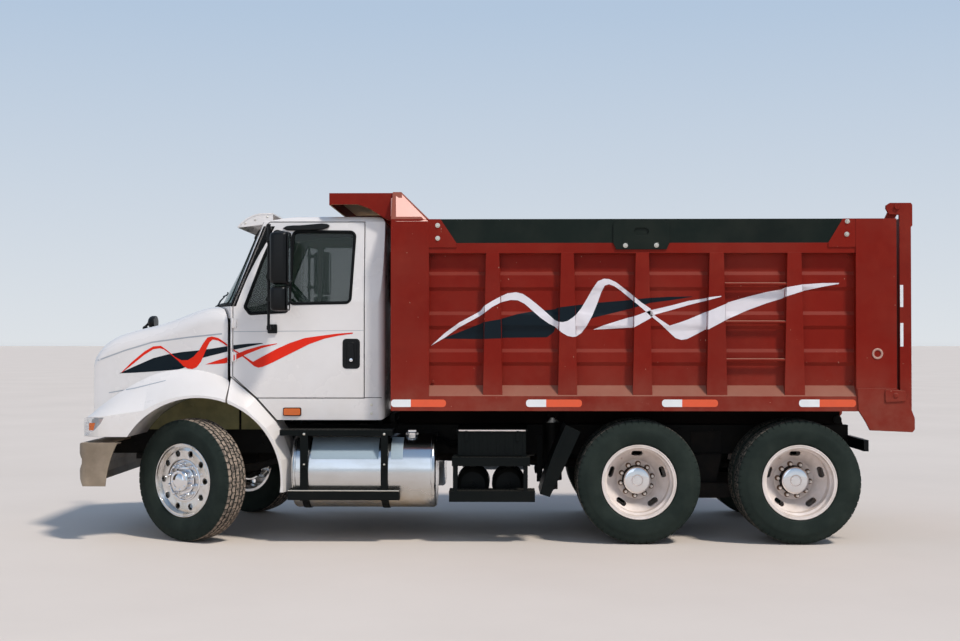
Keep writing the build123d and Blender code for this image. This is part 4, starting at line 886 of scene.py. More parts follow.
def on_bed(shape, poly, lift):
    """Lays an outline of the picture on the bed's left side: skin, ribs, their flanks and the posts."""
    deep = [at_depth(x, y, -1173) for x, y in poly]
    near = [at_depth(x, y, -1242) for x, y in poly]
    post = [at_depth(x, y, -1250) for x, y in poly]
    edges = [-557] + [v for rib in RIBS for v in rib] + [3164]
    for tri in triangles(deep):
        for k in range(0, len(edges), 2):
            a, b = edges[k], edges[k + 1]
            for z0, z1 in zip(LEVELS, LEVELS[1:]):
                xa0, xa1 = (a, a) if k == 0 else (flank(a, z0, 1), flank(a, z1, 1))
                xb0, xb1 = (b, b) if k + 2 == len(edges) else (flank(b, z0, -1), flank(b, z1, -1))
                got = clip(tri, [(xa0, z0), (xb0, z0), (xb1, z1), (xa1, z1)])
                if len(got) > 2:
                    shape.add([(p.x, -panel_y(p.y) - lift, p.y) for p in got], [tuple(range(len(got)))])
    for tri in triangles(near):
        for a, b in RIBS:
            got = clip(tri, [(a, 1300), (b, 1300), (flank(b, 2555, 1), 2555), (flank(a, 2555, -1), 2555)])
            if len(got) > 2:
                shape.add([(p.x, -1242 - lift, p.y) for p in got], [tuple(range(len(got)))])
    for tri in triangles(post):
        for a, b in ((-892, -557), (3164, 3517)):
            got = clip(tri, [(a, 1300), (b, 1300), (b, 2850), (a, 2850)])
            if len(got) > 2:
                shape.add([(p.x, -1250 - lift, p.y) for p in got], [tuple(range(len(got)))])
    for a, b in RIBS:
        for x, turn in ((a, -1), (b, 1)):
            cuts = []
            for outline in (near, deep):
                hits = []
                for i in range(len(outline)):
                    (x0, z0), (x1, z1) = outline[i - 1], outline[i]
                    d0 = x0 - flank(x, z0, turn)
                    d1 = x1 - flank(x, z1, turn)
                    if (d0 > 0) != (d1 > 0):
                        hits.append(z0 + (z1 - z0) * d0 / (d0 - d1))
                cuts.append(sorted(hits))
            if len(cuts[0]) == len(cuts[1]) and len(cuts[0]) % 2 == 0:
                for i in range(0, len(cuts[0]), 2):
                    (n0, n1), (f0, f1) = cuts[0][i:i + 2], cuts[1][i:i + 2]
                    off = turn * lift
                    shape.add([(flank(x, n0, turn) + off, -1242 - lift, n0), (flank(x, n1, turn) + off, -1242 - lift, n1),
                               (flank(x, f1, turn) + off, -panel_y(f1) - lift, f1),
                               (flank(x, f0, turn) + off, -panel_y(f0) - lift, f0)], [(0, 1, 2, 3)])


for name, key, polys, lift in (("stripe_dark", "stripe_black", (DARK,), 1.1),
                               ("stripe_light", "stripe_white", (WAVE_TOP + WAVE_LOW, SPIKE), 1.8)):
    shape = Shape()
    for poly in polys:
        on_bed(shape, poly, lift)
    o = shape.piece(f"bed_{name}_left", "bed", key, flip=False)
    face_out(o)
    twin = mirrored(o, f"bed_{name}_right", "bed")

HOOD_WAVE = crop([(285, 332), (330, 287), (390, 237), (430, 214), (465, 211), (490, 228), (530, 262), (560, 278),
                  (590, 277), (615, 262), (640, 235), (660, 200), (680, 173), (700, 168), (730, 175), (760, 195),
                  (790, 222), (830, 245), (890, 285), (925, 265), (1000, 225), (1060, 198), (1130, 175), (1200, 165),
                  (1280, 155), (1350, 150), (1350, 155), (1280, 165), (1220, 178), (1150, 203), (1060, 248),
                  (980, 288), (935, 308), (915, 312), (895, 305), (860, 275), (830, 252), (800, 235), (760, 205),
                  (730, 187), (705, 182), (690, 195), (680, 215), (665, 250), (650, 285), (630, 310), (610, 318),
                  (590, 316), (570, 305), (545, 280), (510, 250), (480, 228), (460, 222), (430, 227), (390, 252),
                  (330, 300), (285, 335)], 60, 300, 4.61)
HOOD_SPIKE = crop([(670, 297), (720, 280), (790, 258), (860, 230), (930, 210), (1000, 200), (1000, 203), (930, 222),
                   (860, 250), (790, 285), (760, 292), (720, 295)], 60, 300, 4.61)
HOOD_DARK = crop([(275, 337), (350, 303), (430, 268), (500, 250), (560, 240), (640, 232), (700, 224), (800, 208),
                  (870, 201), (935, 198), (935, 201), (870, 215), (800, 230), (740, 246), (690, 258), (660, 266),
                  (600, 300), (565, 315), (530, 322), (450, 328), (350, 335), (275, 338)], 60, 300, 4.61)
HOOD_CREASE = crop([(225, 425), (345, 404), (488, 369), (486, 373), (345, 409), (226, 430)], 60, 300, 4.61)
gap0, gap1 = in_picture((-2359, -1000, 1650))[0], in_picture((-2318, -1028, 1650))[0]
FRONT_PARTS = (("hood", "hood", (60, gap0)), ("door_left", "door_left", (gap1, 400)),
               ("cab_shell", "chassis", (gap0 + 0.4, gap1 - 0.3)))
for label, key, poly, lift in (("dark", "stripe_black", HOOD_DARK, 1.2), ("wave", "stripe_red", HOOD_WAVE, 1.9),
                               ("spike", "stripe_red", HOOD_SPIKE, 1.5)):
    for node, body, (x0, x1) in FRONT_PARTS:
        if min(p[0] for p in poly) > x1 or max(p[0] for p in poly) < x0:
            continue
        o = painted(f"{body}_{label}_left", body, key, poly, surface_of(node), lift,
                    window=[(x0, 200), (x1, 200), (x1, 500), (x0, 500)], size=3.5)
        if o.data.polygons:
            mirrored(o, f"{body}_{label}_right", body.replace("left", "right"))
        else:
            bpy.data.objects.remove(o)

# slanted wing of the canopy: painted sunlight, a pale pink layer standing in for the sun on its face
WING = crop([(858, 84), (958, 84), (1306, 438), (852, 440)], 320, 185, 12.06)
o = painted("canopy_wing_left", "bed", "red_lit", WING, surface_of("bed_headboard", "bed_sides"), 1.2, size=6)
mirrored(o, "canopy_wing_right", "bed")

# =====================================================================
# cab
# =====================================================================
VENT = [(-2212, 2087), (-2170, 2030), (-1840, 2050), (-1840, 2740), (-1950, 2765), (-2065, 2490)]
MAIN_WINDOW = [(-1785, 2760), (-1240, 2755), (-1280, 2130), (-1815, 2120)]


def door_y(z):
    return 1030 if z <= 2130 else 1030 - (z - 2130) * 57 / 720


def ring_on(shape, outline_points, at, steps, mat=0):
    """Rubber profile along a closed outline. steps are (offset outwards, height off the surface)."""
    loops = [[at(p, h) for p in offset_outline(outline_points, o)] for o, h in steps]
    n, k = len(outline_points), len(steps)
    pts = [loops[q][i] for i in range(n) for q in range(k)]
    faces = [(i * k + q, ((i + 1) % n) * k + q, ((i + 1) % n) * k + q + 1, i * k + q + 1)
             for i in range(n) for q in range(k - 1)]
    shape.add(pts, faces, mat)


PILLAR_EDGE = [at_depth(200 + x / 12.54, 205 + y / 12.54, -1008) for x, y in
               ((448, 1300), (520, 1100), (600, 900), (690, 715), (750, 600), (815, 490), (872, 385), (915, 300))]


def pillar_edge(z):
    """X of the white pillar's front edge at one height."""
    for (xa, za), (xb, zb) in zip(PILLAR_EDGE, PILLAR_EDGE[1:]):
        if z <= zb:
            break
    return xa + (xb - xa) * (z - za) / (zb - za)


for side, s in SIDES:
    for label, body, front, back in (
            ("pillar", "chassis", lambda z: -2345 + (z - 2090) * 300 / 760, lambda z: -2320 - 9 + (z - 2085) * 290 / 735),
            ("door_edge", f"door_{side}", lambda z: -2319 + (z - 2085) * 290 / 735, pillar_edge)):
        shape = Shape()
        levels = [2092 + (2812 - 2092) * i / 16 for i in range(17)]
        pts, faces = [], []
        for z in levels:
            x0, x1 = front(z), max(front(z) + 4, back(z))
            for x in (x0, x1):
                pts += [(x, s * (door_y(z) + 1.3), z), (x, s * (door_y(z) - 0.6), z)]
        for i in range(16):
            e = i * 4
            faces += [(e, e + 2, e + 6, e + 4), (e + 1, e + 5, e + 7, e + 3), (e, e + 4, e + 5, e + 1),
                      (e + 2, e + 3, e + 7, e + 6)]
        faces += [(0, 1, 3, 2), (64, 66, 67, 65)]
        shape.add(pts, faces)
        shape.piece(f"{label}_seal_{side}", body, "rubber")

SEAL = [(19, -1), (18, 3), (12, 6.5), (4, 7.5), (-4, 5), (-8, -2), (-8, -17.5)]
for side, s in SIDES:
    shape = Shape()
    for hole, radius in ((VENT, 22), (MAIN_WINDOW, 40)):
        ring_on(shape, rounded(hole, radius, 8), lambda p, h: (p[0], s * (door_y(p[1]) + h), p[1]), SEAL)
    shape.piece(f"window_rubber_{side}", f"door_{side}", "rubber", smooth=50)

    shape = Shape()
    shape.prism(rounded([(-1341, 1534), (-1185, 1534), (-1185, 1802), (-1341, 1802)], 34), (0, s * 1029, 0),
                (1, 0, 0), (0, 0, 1), (0, s * 5, 0))
    shape.prism(rounded([(-1296, 1588), (-1232, 1588), (-1240, 1772), (-1288, 1772)], 18), (0, s * 1033, 0),
                (1, 0, 0), (0, 0, 1), (0, s * 16, 0))
    shape.box(-1316, -1308, s * 1033, s * 1039, 1560, 1776)
    shape.box(-1218, -1210, s * 1033, s * 1039, 1560, 1776)
    shape.piece(f"handle_plate_{side}", f"door_{side}", "black_plastic", bevel=2.5)
    shape = Shape()
    shape.turned((-1263, s * 1048, 1612), (0, s, 0), [(0, 15), (3, 15), (4.5, 12), (4.5, 0)], 24)
    shape.box(-1265, -1261, s * 1052, s * 1053.5, 1605, 1619)
    shape.piece(f"door_lock_{side}", f"door_{side}", "chrome")
    # long oval rain deflector over the door
    shape = Shape()
    leaf = [at_depth(x, y, -990) for x, y in
            ((282.5, 228.3), (287, 226.0), (293, 225.4), (301, 225.3), (312, 224.3), (322, 223.4), (328, 224.0), (330, 225.8),
             (327.5, 228.3), (322, 229.8), (310, 230.4), (296, 230.8), (287, 230.3))]
    shape.prism(leaf, (0, s * (door_y(2790) - 6), 0), (1, 0, 0), (0, 0, 1), (0, s * 34, 0))
    shape.piece(f"drip_rail_{side}", f"door_{side}", "black_plastic", bevel=10, segments=4)
    # hinge covers
    shape = Shape()
    for z in (1640, 1940):
        shape.turned((-2325, s * 1045, z - 44), (0, 0, 1), [(0, 0), (0, 11.5), (3, 12.5), (85, 12.5), (88, 11.5), (88, 0)],
                     16)
        for dz in (-25, 25):
            shape.turned((-2292, s * 1029, z + dz), (0, s, 0), [(0, 8), (3, 8), (4.5, 5), (4.5, 0)], 14)
    shape.piece(f"hinge_caps_{side}", f"door_{side}", "white", bevel=0.8)
    # mirror heads, arms, glass and clamps
    shape = Shape()
    for cx, cy, hx, hy, z0, z1, r in ((-1850, 1340, 80, 100, 2275, 2730, 48), (-1856, 1335, 75, 90, 2043, 2258, 46)):
        rows = []
        for dz, d in ((0, 40), (3, 24), (10, 11), (22, 3), (36, 0)):
            rows.append((z0 + dz, d))
        for dz, d in ((36, 0), (22, 3), (10, 11), (3, 24), (0, 40)):
            rows.append((z1 - dz, d))
        loops = [[(cx + px, s * cy + py, z) for px, py in
                  rounded([(-hx + d, -hy + d), (hx, -hy + d), (hx, hy - d), (-hx + d, hy - d)], max(8, r - d * 0.4), 6)]
                 for z, d in rows]
        m = len(loops[0])
        faces = [(i * m + q, i * m + (q + 1) % m, (i + 1) * m + (q + 1) % m, (i + 1) * m + q)
                 for i in range(len(loops) - 1) for q in range(m)]
        faces += [tuple(range(m - 1, -1, -1)), tuple((len(loops) - 1) * m + q for q in range(m))]
        shape.add([p for loop in loops for p in loop], faces)
    shape.tube([(-1970, s * 1220, z) for z in (1876, 2100, 2400, 2806)], 13, 16)
    shape.tube([(-1990, s * 981, 2790), (-1980, s * 1100, 2792), (-1970, s * 1221, 2790)], 11, 14)
    shape.tube([(-1975, s * 1036, 1892), (-1970, s * 1130, 1892), (-1970, s * 1221, 1892)], 11, 14)
    for z, y in ((2350, 1262), (2680, 1262), (2148, 1268)):
        shape.box(-1984, -1905, s * 1206, s * y, z - 17, z + 17)
    shape.prism(rounded([(-2010, 1850), (-1925, 1850), (-1925, 1930), (-2010, 1930)], 10), (0, s * 1029, 0), (1, 0, 0),
                (0, 0, 1), (0, s * 20, 0))
    o = shape.piece(f"mirror_heads_{side}", f"door_{side}", "black_plastic", smooth=45, slot="grille_black")
    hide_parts(f"mirror_{side}")
    shape = Shape()
    for cx, cy, hw, z0, z1, r in ((-1770, 1340, 78, 2292, 2712, 34), (-1781, 1335, 70, 2058, 2250, 30)):
        shape.prism(rounded([(-hw, z0), (hw, z0), (hw, z1), (-hw, z1)], r), (cx - 1, s * cy, 0), (0, 1, 0), (0, 0, 1),
                    (4, 0, 0))
    shape.piece(f"mirror_glass_{side}", f"door_{side}", "mirror", bevel=1.0)
    shape = Shape()
    for cx, cy, hw, z0, z1, r in ((-1770, 1340, 88, 2280, 2725, 40), (-1781, 1335, 80, 2046, 2262, 36)):
        outline = rounded([(-hw, z0), (hw, z0), (hw, z1), (-hw, z1)], r)
        ring_on(shape, outline, lambda p, h: (cx + h, s * (cy) + p[0], p[1]),
                [(0, -2), (0, 6), (-4, 8), (-12, 8), (-14, 3)])
    for z in (2350, 2680):
        shape.tube([(-1970, s * 1220, z - 34), (-1970, s * 1220, z + 34)], 19, 16)
        shape.hexnut((-1970 - 18, s * 1220, z), (-1, 0, 0), 15, 8)
    for z in (1900, 2148, 2795):
        shape.tube([(-1970, s * 1220, z - 16), (-1970, s * 1220, z + 16)], 18, 16)
    shape.tube([(-1990, s * 1050, 1890), (-1970, s * 1046, 1892), (-1950, s * 1050, 1894)], 16, 14)
    shape.piece(f"mirror_rims_{side}", f"door_{side}", "black_plastic", bevel=1.2)
    # vertical ribs on the back of the mirror heads
    shape = Shape()
    for z in (2330, 2502, 2674):
        shape.box(-1933, -1928, s * 1290, s * 1390, z - 5, z + 5)
    shape.piece(f"mirror_back_{side}", f"door_{side}", "black_plastic", bevel=2)
    # painted shade: a thin grey line along the door's fold
    shape = Shape()
    shape.prism([(-2316, 1862), (-1154, 1874), (-1154, 1878), (-2316, 1868)], (0, s * 1029.6, 0), (1, 0, 0), (0, 0, 1),
                (0, s * 1.4, 0))
    shape.piece(f"door_crease_{side}", f"door_{side}", "crease")
    # lower seam, sill bolts and side marker on the cab
    shape = Shape()
    shape.box(-1148, -990, s * 1029.5, s * 1031.4, 1274, 1279)
    shape.piece(f"cab_seam_{side}", "chassis", "rubber")
    shape = Shape()
    for x, z in ((-1082, 1213), (-1082, 1136)):
        shape.turned((x, s * 1029.5, z), (0, s, 0), [(0, 13), (2.5, 13), (4, 9), (4, 0)], 18)
    shape.piece(f"sill_bolts_{side}", "chassis", "bolt")
    shape = Shape()
    shape.prism(rounded([(-1872, 1112), (-1708, 1112), (-1708, 1188), (-1872, 1188)], 14), (0, s * 1029.5, 0),
                (1, 0, 0), (0, 0, 1), (0, s * 6, 0))
    shape.piece(f"marker_base_{side}", "chassis", "black_plastic", bevel=2)
    shape = Shape()
    shape.prism(rounded([(-1864, 1120), (-1716, 1120), (-1716, 1180), (-1864, 1180)], 12), (0, s * 1034, 0),
                (1, 0, 0), (0, 0, 1), (0, s * 14, 0))
    for i in range(9):
        x = -1852 + 15.5 * i
        shape.box(x, x + 6, s * 1047, s * 1049.5, 1126, 1174)
    shape.piece(f"side_marker_{side}", "chassis", "amber", bevel=4, segments=3)

# windscreen: rubber, wipers, inside mirror


def screen(y, z, h=0.0):
    """Point on the bowed windscreen's outer face, h off it."""
    k = (z - 2090) / 760
    deep = 285 - 120 * k
    r = (1e6 + deep ** 2) / (2 * deep)
    c = math.sqrt(r ** 2 - y ** 2)
    n = Vector((-1, y / c, 0.395 + 0.158 * (1 - (y / 1000) ** 2))).normalized()
    return Vector((-2345 + 300 * k - deep + r - c, y, z)) + n * h


SCREEN_HOLE = [(-915, 2122), (-850, 2740), (850, 2740), (915, 2122)]
fine = []
hole = rounded(SCREEN_HOLE, 70, 8)
for i, p in enumerate(hole):
    q = hole[(i + 1) % len(hole)]
    steps = max(1, int((Vector(q) - Vector(p)).length / 60))
    fine += [(p[0] + (q[0] - p[0]) * k / steps, p[1] + (q[1] - p[1]) * k / steps) for k in range(steps)]
shape = Shape()
ring_on(shape, fine, lambda p, h: screen(p[0], p[1], h), [(24, -1), (22, 4), (14, 8), (4, 8), (-6, 4), (-10, -18)])


def band(shape, corners, n, m, h=1.6):
    """Strip of dark print on the windscreen's face between four (y, z) corners."""
    (a, b), (c, d) = [[Vector((*p, 0)) for p in pair] for pair in corners]
    pts, faces = [], []
    for i in range(n + 1):
        for q in range(m + 1):
            p = a.lerp(b, i / n).lerp(c.lerp(d, i / n), q / m)
            pts += [screen(p.x, p.y, h), screen(p.x, p.y, -0.5)]
    for i in range(n):
        for q in range(m):
            e = (i * (m + 1) + q) * 2
            f = e + 2 * (m + 1)
            faces += [(e, f, f + 2, e + 2), (e + 1, e + 3, f + 3, f + 1)]
    shape.add(pts, faces)


edge = shape
shape = Shape()
for s in (-1, 1):
    band(shape, (((s * 918, 2127), (s * 853, 2736)), ((s * 966, 2127), (s * 902, 2736))), 14, 3)
shape.piece("screen_edge", "chassis", "screen_edge")
shape = edge
for s in (-1, 1):
    band(shape, (((s * 966, 2094), (s * 902, 2790)), ((s * 990, 2094), (s * 928, 2790))), 14, 2)
    band(shape, (((s * 918, 2093), (s * 918, 2127)), ((s * 966, 2093), (s * 966, 2127))), 1, 3)
    band(shape, (((s * 853, 2736), (s * 853, 2790)), ((s * 902, 2736), (s * 902, 2790))), 1, 3)
band(shape, (((-918, 2093), (918, 2093)), ((-918, 2126), (918, 2126))), 40, 1)
band(shape, (((-853, 2736), (853, 2736)), ((-853, 2790), (853, 2790))), 40, 1)
rear = rounded([(-450, 2150), (450, 2150), (450, 2600), (-450, 2600)], 50, 8)
ring_on(shape, rear, lambda p, h: (-964 + h, p[0], p[1]), [(20, -1), (18, 5), (8, 8), (-4, 5), (-8, -22)])
shape.piece("screen_rubber", "chassis", "rubber", smooth=50)
# dark top of the dash below the windscreen
shape = Shape()
ledge = [(screen(y, 2090).x + 64, y) for y in range(-900, 901, 60)] + [(-2294, 900), (-2294, -900)]
shape.prism(ledge, (0, 0, 2090.5), (1, 0, 0), (0, 1, 0), (0, 0, 2.5))
shape.piece("dash_ledge", "chassis", "cabin_dark")
shape = Shape()
for s in (-1, 1):
    foot = screen(s * 470, 2098, 16)
    tip = screen(s * 60, 2230, 20)
    shape.turned(foot - Vector((0, 0, 14)), (-0.35, 0, 0.94), [(0, 24), (12, 24), (22, 17), (26, 0)], 20)
    shape.tube([foot, foot.lerp(tip, 0.35) + Vector((-10, 0, 6)), foot.lerp(tip, 0.7) + Vector((-8, 0, 2)), tip],
               [10, 8, 6, 5], 8)
    blade = [screen(s * y, 2150 + (y - 60) * -0.09 + 70, 13) for y in range(-150, 331, 40)]
    shape.tube(blade, 7, 6)
shape.piece("wipers", "chassis", "black_plastic")
shape = Shape()
shape.prism(rounded([(-120, 2650), (120, 2650), (120, 2715), (-120, 2715)], 22), (-2105, 0, 0), (0, 1, 0), (0, 0, 1),
            (-26, 0, 0))
shape.tube([(-2118, 0, 2712), (-2110, 0, 2760), (-2090, 0, 2800)], 8)
shape.piece("inside_mirror", "chassis", "cabin_dark", bevel=5, segments=3)

# dash: hood over the dials, vents, switches, radio
shape = Shape()
shape.prism(rounded([(-2215, 2085), (-2060, 2130), (-1990, 2110), (-1960, 2045), (-2180, 2040)], 20), (0, -760, 0),
            (1, 0, 0), (0, 0, 1), (0, 520, 0))
shape.box(-1962, -1950, -180, 240, 1900, 1975)
for i in range(6):
    shape.box(-1953, -1946, -160 + i * 66, -160 + i * 66 + 44, 1918, 1958)
for y in (-860, -260, 300, 860):
    shape.turned((-1958, y * 0.97, 2006), (1, 0, 0.25), [(0, 44), (12, 44), (14, 38), (6, 34), (6, 0)], 24)
shape.tube([(-1760, 120, 1150), (-1740, 110, 1500), (-1720, 100, 1730)], [16, 11, 9])
shape.turned((-1718, 99, 1725), (0.1, 0, 1), [(0, 14), (20, 26), (48, 26), (66, 14), (70, 0)], 24)
shape.piece("dash_details", "chassis", "cabin_dark", bevel=2)
shape = Shape()
for y in (-610, -500, -390):
    shape.turned((-1968, y, 2074), (1, 0, 0.5), [(0, 42), (6, 42), (8, 37), (4, 35), (4, 0)], 28)
shape.piece("dials", "chassis", "steel")
# belts and floor mat
shape = Shape()
shape.box(-1900, -1040, -900, 900, 1146, 1152)
for i in range(17):
    shape.box(-1890 + i * 50, -1876 + i * 50, -890, 890, 1151, 1155)
shape.piece("floor_mat", "chassis", "rubber")
shape = Shape()
for s in (-1, 1):
    shape.box(-1005, -998, s * 800, s * 848, 1500, 2560)
    shape.box(-1010, -985, s * 790, s * 858, 2540, 2590)
shape.piece("seat_belts", "chassis", "seam", bevel=1.5)
# visor: bolts
shape = Shape()
for s in (-1, 1):
    for x, z in ((-2040, 2905), (-2150, 2878), (-2240, 2846)):
        shape.turned((x, s * 898, z), (0, s, 0), [(0, 9), (3, 9), (5, 6), (5, 0)], 14)
for y in (-600, -200, 200, 600):
    shape.turned((-2150, y, 2925), (-0.4, 0, 0.9), [(0, 8), (3, 8), (4, 5), (4, 0)], 12)
shape.piece("visor_bolts", "chassis", "bolt")


# seats
def cushion(name, cad, width_y, centre_y, push):
    """Stuffed pad: a smaller block, swollen by simulation."""
    shape = Shape()
    n = 10
    mid = Vector((sum(p[0] for p in cad) / len(cad), sum(p[1] for p in cad) / len(cad)))
    small = [mid + (Vector(p) - mid) * 0.80 for p in cad]
    rows = []
    for i in range(n + 1):
        t = -1 + 2 * i / n
        y = centre_y + t * width_y * 0.44
        k = 1 - 0.16 * abs(t) ** 6
        rows.append([((mid + (p - mid) * k).x, y, (mid + (p - mid) * k).y) for p in
                     [Vector(q) for q in rounded([tuple(q) for q in small], 24, 4)]])
    m = len(rows[0])
    pts = [p for r in rows for p in r]
    faces = [(i * m + q, (i + 1) * m + q, (i + 1) * m + (q + 1) % m, i * m + (q + 1) % m)
             for i in range(n) for q in range(m)]
    faces += [tuple(range(m)), tuple(n * m + q for q in range(m - 1, -1, -1))]
    shape.add(pts, faces)
    o = shape.piece(name, "chassis", "fabric", smooth=60)
    bpy.context.view_layer.objects.active = o
    for other in bpy.context.selected_objects:
        other.select_set(False)
    o.select_set(True)
    o.data.remesh_voxel_size = 0.011
    bpy.ops.object.voxel_remesh()
    start = [v.co.copy() for v in o.data.vertices]
    cloth = o.modifiers.new("swell", "CLOTH")
    cloth.settings.use_pressure = True
    cloth.settings.uniform_pressure_force = push
    cloth.settings.tension_stiffness = 12
    cloth.settings.compression_stiffness = 12
    cloth.settings.shear_stiffness = 6
    cloth.settings.bending_stiffness = 0.4
    cloth.settings.effector_weights.gravity = 0
    cloth.point_cache.frame_start = 1
    cloth.point_cache.frame_end = 20
    for f in range(1, 21):
        bpy.context.scene.frame_set(f)
    bpy.ops.object.modifier_apply(modifier="swell")
    bpy.context.scene.frame_set(1)
    for v, home in zip(o.data.vertices, start):
        d = v.co - home
        if d.length > 0.024:
            v.co = home + d.normalized() * 0.024
    for p in o.data.polygons:
        p.use_smooth = True
    return o


SEAT = [(-1640, 1512), (-1150, 1507), (-1120, 1635), (-1600, 1645), (-1645, 1600)]
BACK = [(-1176, 1640), (-1066, 1540), (-1026, 2350), (-1064, 2445), (-1108, 2430)]
seat = cushion("seat_pad_left", SEAT, 480, -510, 4)
back = cushion("seat_back_left", BACK, 460, -510, 4)
for o in (seat, back):
    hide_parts("seat_cushions")
    twin = o.data.copy()
    for v in twin.vertices:
        v.co.y = -v.co.y
    twin.flip_normals()
    other = bpy.data.objects.new(o.name.replace("left", "right"), twin)
    bpy.context.scene.collection.objects.link(other)
    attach(other, "chassis")
    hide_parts("seat_cushions")

# =====================================================================
# hood
# =====================================================================
shape = Shape()
housing = Shape()
amber = Shape()
for side, s in SIDES:
    for x, y, z, r in ((-3560, 895, 1030, 52), (-3540, 1030, 1034, 48)):
        housing.turned((x, s * y, z), (-1, 0, 0), [(0, 12), (6, r * 0.5), (26, r * 0.9), (34, r), (36, r + 3), (30, r + 3),
                                                   (0, 18)], 28, closed=True)
        housing.turned((x, s * y, z), (-1, 0, 0), [(2, 8), (16, 8), (20, 5), (20, 0)], 14)
    amber.prism(rounded([(-3480, 1055), (-3452, 1055), (-3440, 1092), (-3480, 1092)], 5), (0, s * 1100, 0), (1, 0, 0),
                (0, 0, 1), (0, s * 60, 0))
    shape.box(-3636, -3450, s * 795, s * 803, 990, 1100)
    shape.box(-3470, -3462, s * 803, s * 1150, 990, 1098)
shape.piece("lamp_backs", "hood", "cabin_dark")
housing.piece("lamp_bowls", "hood", "chrome")
amber.piece("turn_lamps", "hood", "amber", bevel=3)
# amber side insert moulded on the lamp glass
lamp_skin = surface_of("headlights")
insert = Shape()
for side, s in SIDES:
    rows = []
    for zi in range(7):
        z = 992 + (1058 - 992) * zi / 6
        row = []
        for xi in range(9):
            x = -3572 + (64 - (1058 - z) * 0.25) * xi / 8
            hit = lamp_skin.ray_cast(Vector((x, s * 1600, z)), Vector((0, -s, 0)))
            row.append((hit[0] + hit[1].normalized() * 1.0) if hit[0] is not None else None)
        rows.append(row)
    for r0, r1 in zip(rows, rows[1:]):
        for a, b, c, d in zip(r0, r0[1:], r1[1:], r1):
            if None not in (a, b, c, d):
                insert.add([a, b, c, d], [(0, 1, 2, 3) if s < 0 else (3, 2, 1, 0)])
insert.piece("lamp_inserts", "hood", "amber")
# painted shade: thin grey lines laid on the hood along its folds, standing in for their shading; and the rubber catch
# at its rear corner
for node, body, (x0, x1) in FRONT_PARTS[:1]:
    o = painted("hood_crease_left", "hood", "crease", HOOD_CREASE, surface_of(node), 1.0,
                window=[(x0, 200), (x1, 200), (x1, 500), (x0, 500)], size=3.5)
    mirrored(o, "hood_crease_right", "hood")
CREASE = [(-3648, 1588), (-3335, 1699), (-3084, 1772), (-2748, 1817), (-2438, 1848)]
line = [in_picture((x, -835 - (x + 3648) * 0.1, z)) for x, z in CREASE]
line = [(x, y + 0.9) for x, y in line] + [(x, y - 0.5) for x, y in reversed(line)]
for node, body, (x0, x1) in FRONT_PARTS[:1]:
    o = painted("hood_fold_left", "hood", "crease", line, surface_of(node), 0.9, size=3.5)
    if o.data.polygons:
        mirrored(o, "hood_fold_right", "hood")
    else:
        bpy.data.objects.remove(o)
hood_skin = surface_of("hood")


def on_hood(x, y):
    hit, normal, index, dist = hood_skin.ray_cast(CAM, sight(x, y))
    return hit, (normal if normal.dot(hit - CAM) < 0 else -normal)


shape = Shape()
foot, normal, index, dist = hood_skin.ray_cast(Vector((-3490, 640, 2600)), Vector((0, 0, -1)))
head = Vector((-3522, 800, 1972))
elbow = Vector((-3590, 760, 1930))
shape.turned(foot - Vector((0, 0, 4)), (0, 0, 1), [(0, 34), (9, 34), (15, 26), (17, 0)], 24)
shape.tube([foot + Vector((0, 0, 8)), foot + Vector((-30, 30, 70)), elbow + Vector((10, -24, -60)), elbow,
            elbow + Vector((22, 24, 30)), head + Vector((-46, -6, 4))], [13, 12, 12, 14, 13, 11], 12)
shape.turned(elbow + Vector((-4, 0, -18)), (0, 1, 0), [(-22, 0), (-22, 20), (-18, 24), (18, 24), (22, 20), (22, 0)], 18)
loops = []
for x, k in ((-52, 0.35), (-46, 0.62), (-30, 0.88), (-8, 1.0), (26, 1.0), (34, 0.97), (35, 0.86)):
    loops.append([head + Vector((x * 0.9, 96 * k * math.cos(q / 28 * 2 * math.pi), 68 * k * math.sin(q / 28 * 2 * math.pi)))
                  for q in range(28)])
faces = [(i * 28 + q, i * 28 + (q + 1) % 28, (i + 1) * 28 + (q + 1) % 28, (i + 1) * 28 + q)
         for i in range(len(loops) - 1) for q in range(28)]
faces += [tuple(range(27, -1, -1)), tuple((len(loops) - 1) * 28 + q for q in range(28))]
shape.add([p for loop in loops for p in loop], faces)
shape.piece("hood_mirror", "hood", "black_plastic", smooth=50)
shape = Shape()
catch, out = on_hood(235, 387)
shape.prism(rounded([(-26, -34), (26, -34), (26, 34), (-26, 34)], 12), catch - Vector((0, 0, 0)) - out * 2, (1, 0, 0),
            (0, 0, 1), Vector((0, -1, 0)) * 26)
shape.tube([catch + Vector((-4, -20, 40)), catch + Vector((-4, -26, 6)), catch + Vector((-2, -22, -40))], [10, 15, 10], 12)
o = shape.piece("hood_catch_left", "hood", "rubber", bevel=4, segments=3)
mirrored(o, "hood_catch_right", "hood")

# bars of the grille's mesh, and its screws
shape = Shape()
for i in range(21):
    y = -400 + 40 * i
    shape.box(-3637, -3634.5, y - 1.6, y + 1.6, 1100, 1540)
for i in range(11):
    z = 1108 + 43 * i
    shape.box(-3637, -3634.5, -436, 436, z - 1.6, z + 1.6)
shape.piece("grille_mesh", "hood", "steel")
shape = Shape()
for y in (-455, 455):
    for z in (1120, 1320, 1520):
        shape.turned((-3660, y, z), (-1, 0, 0), [(0, 7), (2, 7), (3.5, 4), (3.5, 0)], 12)
shape.piece("grille_screws", "hood", "bolt")
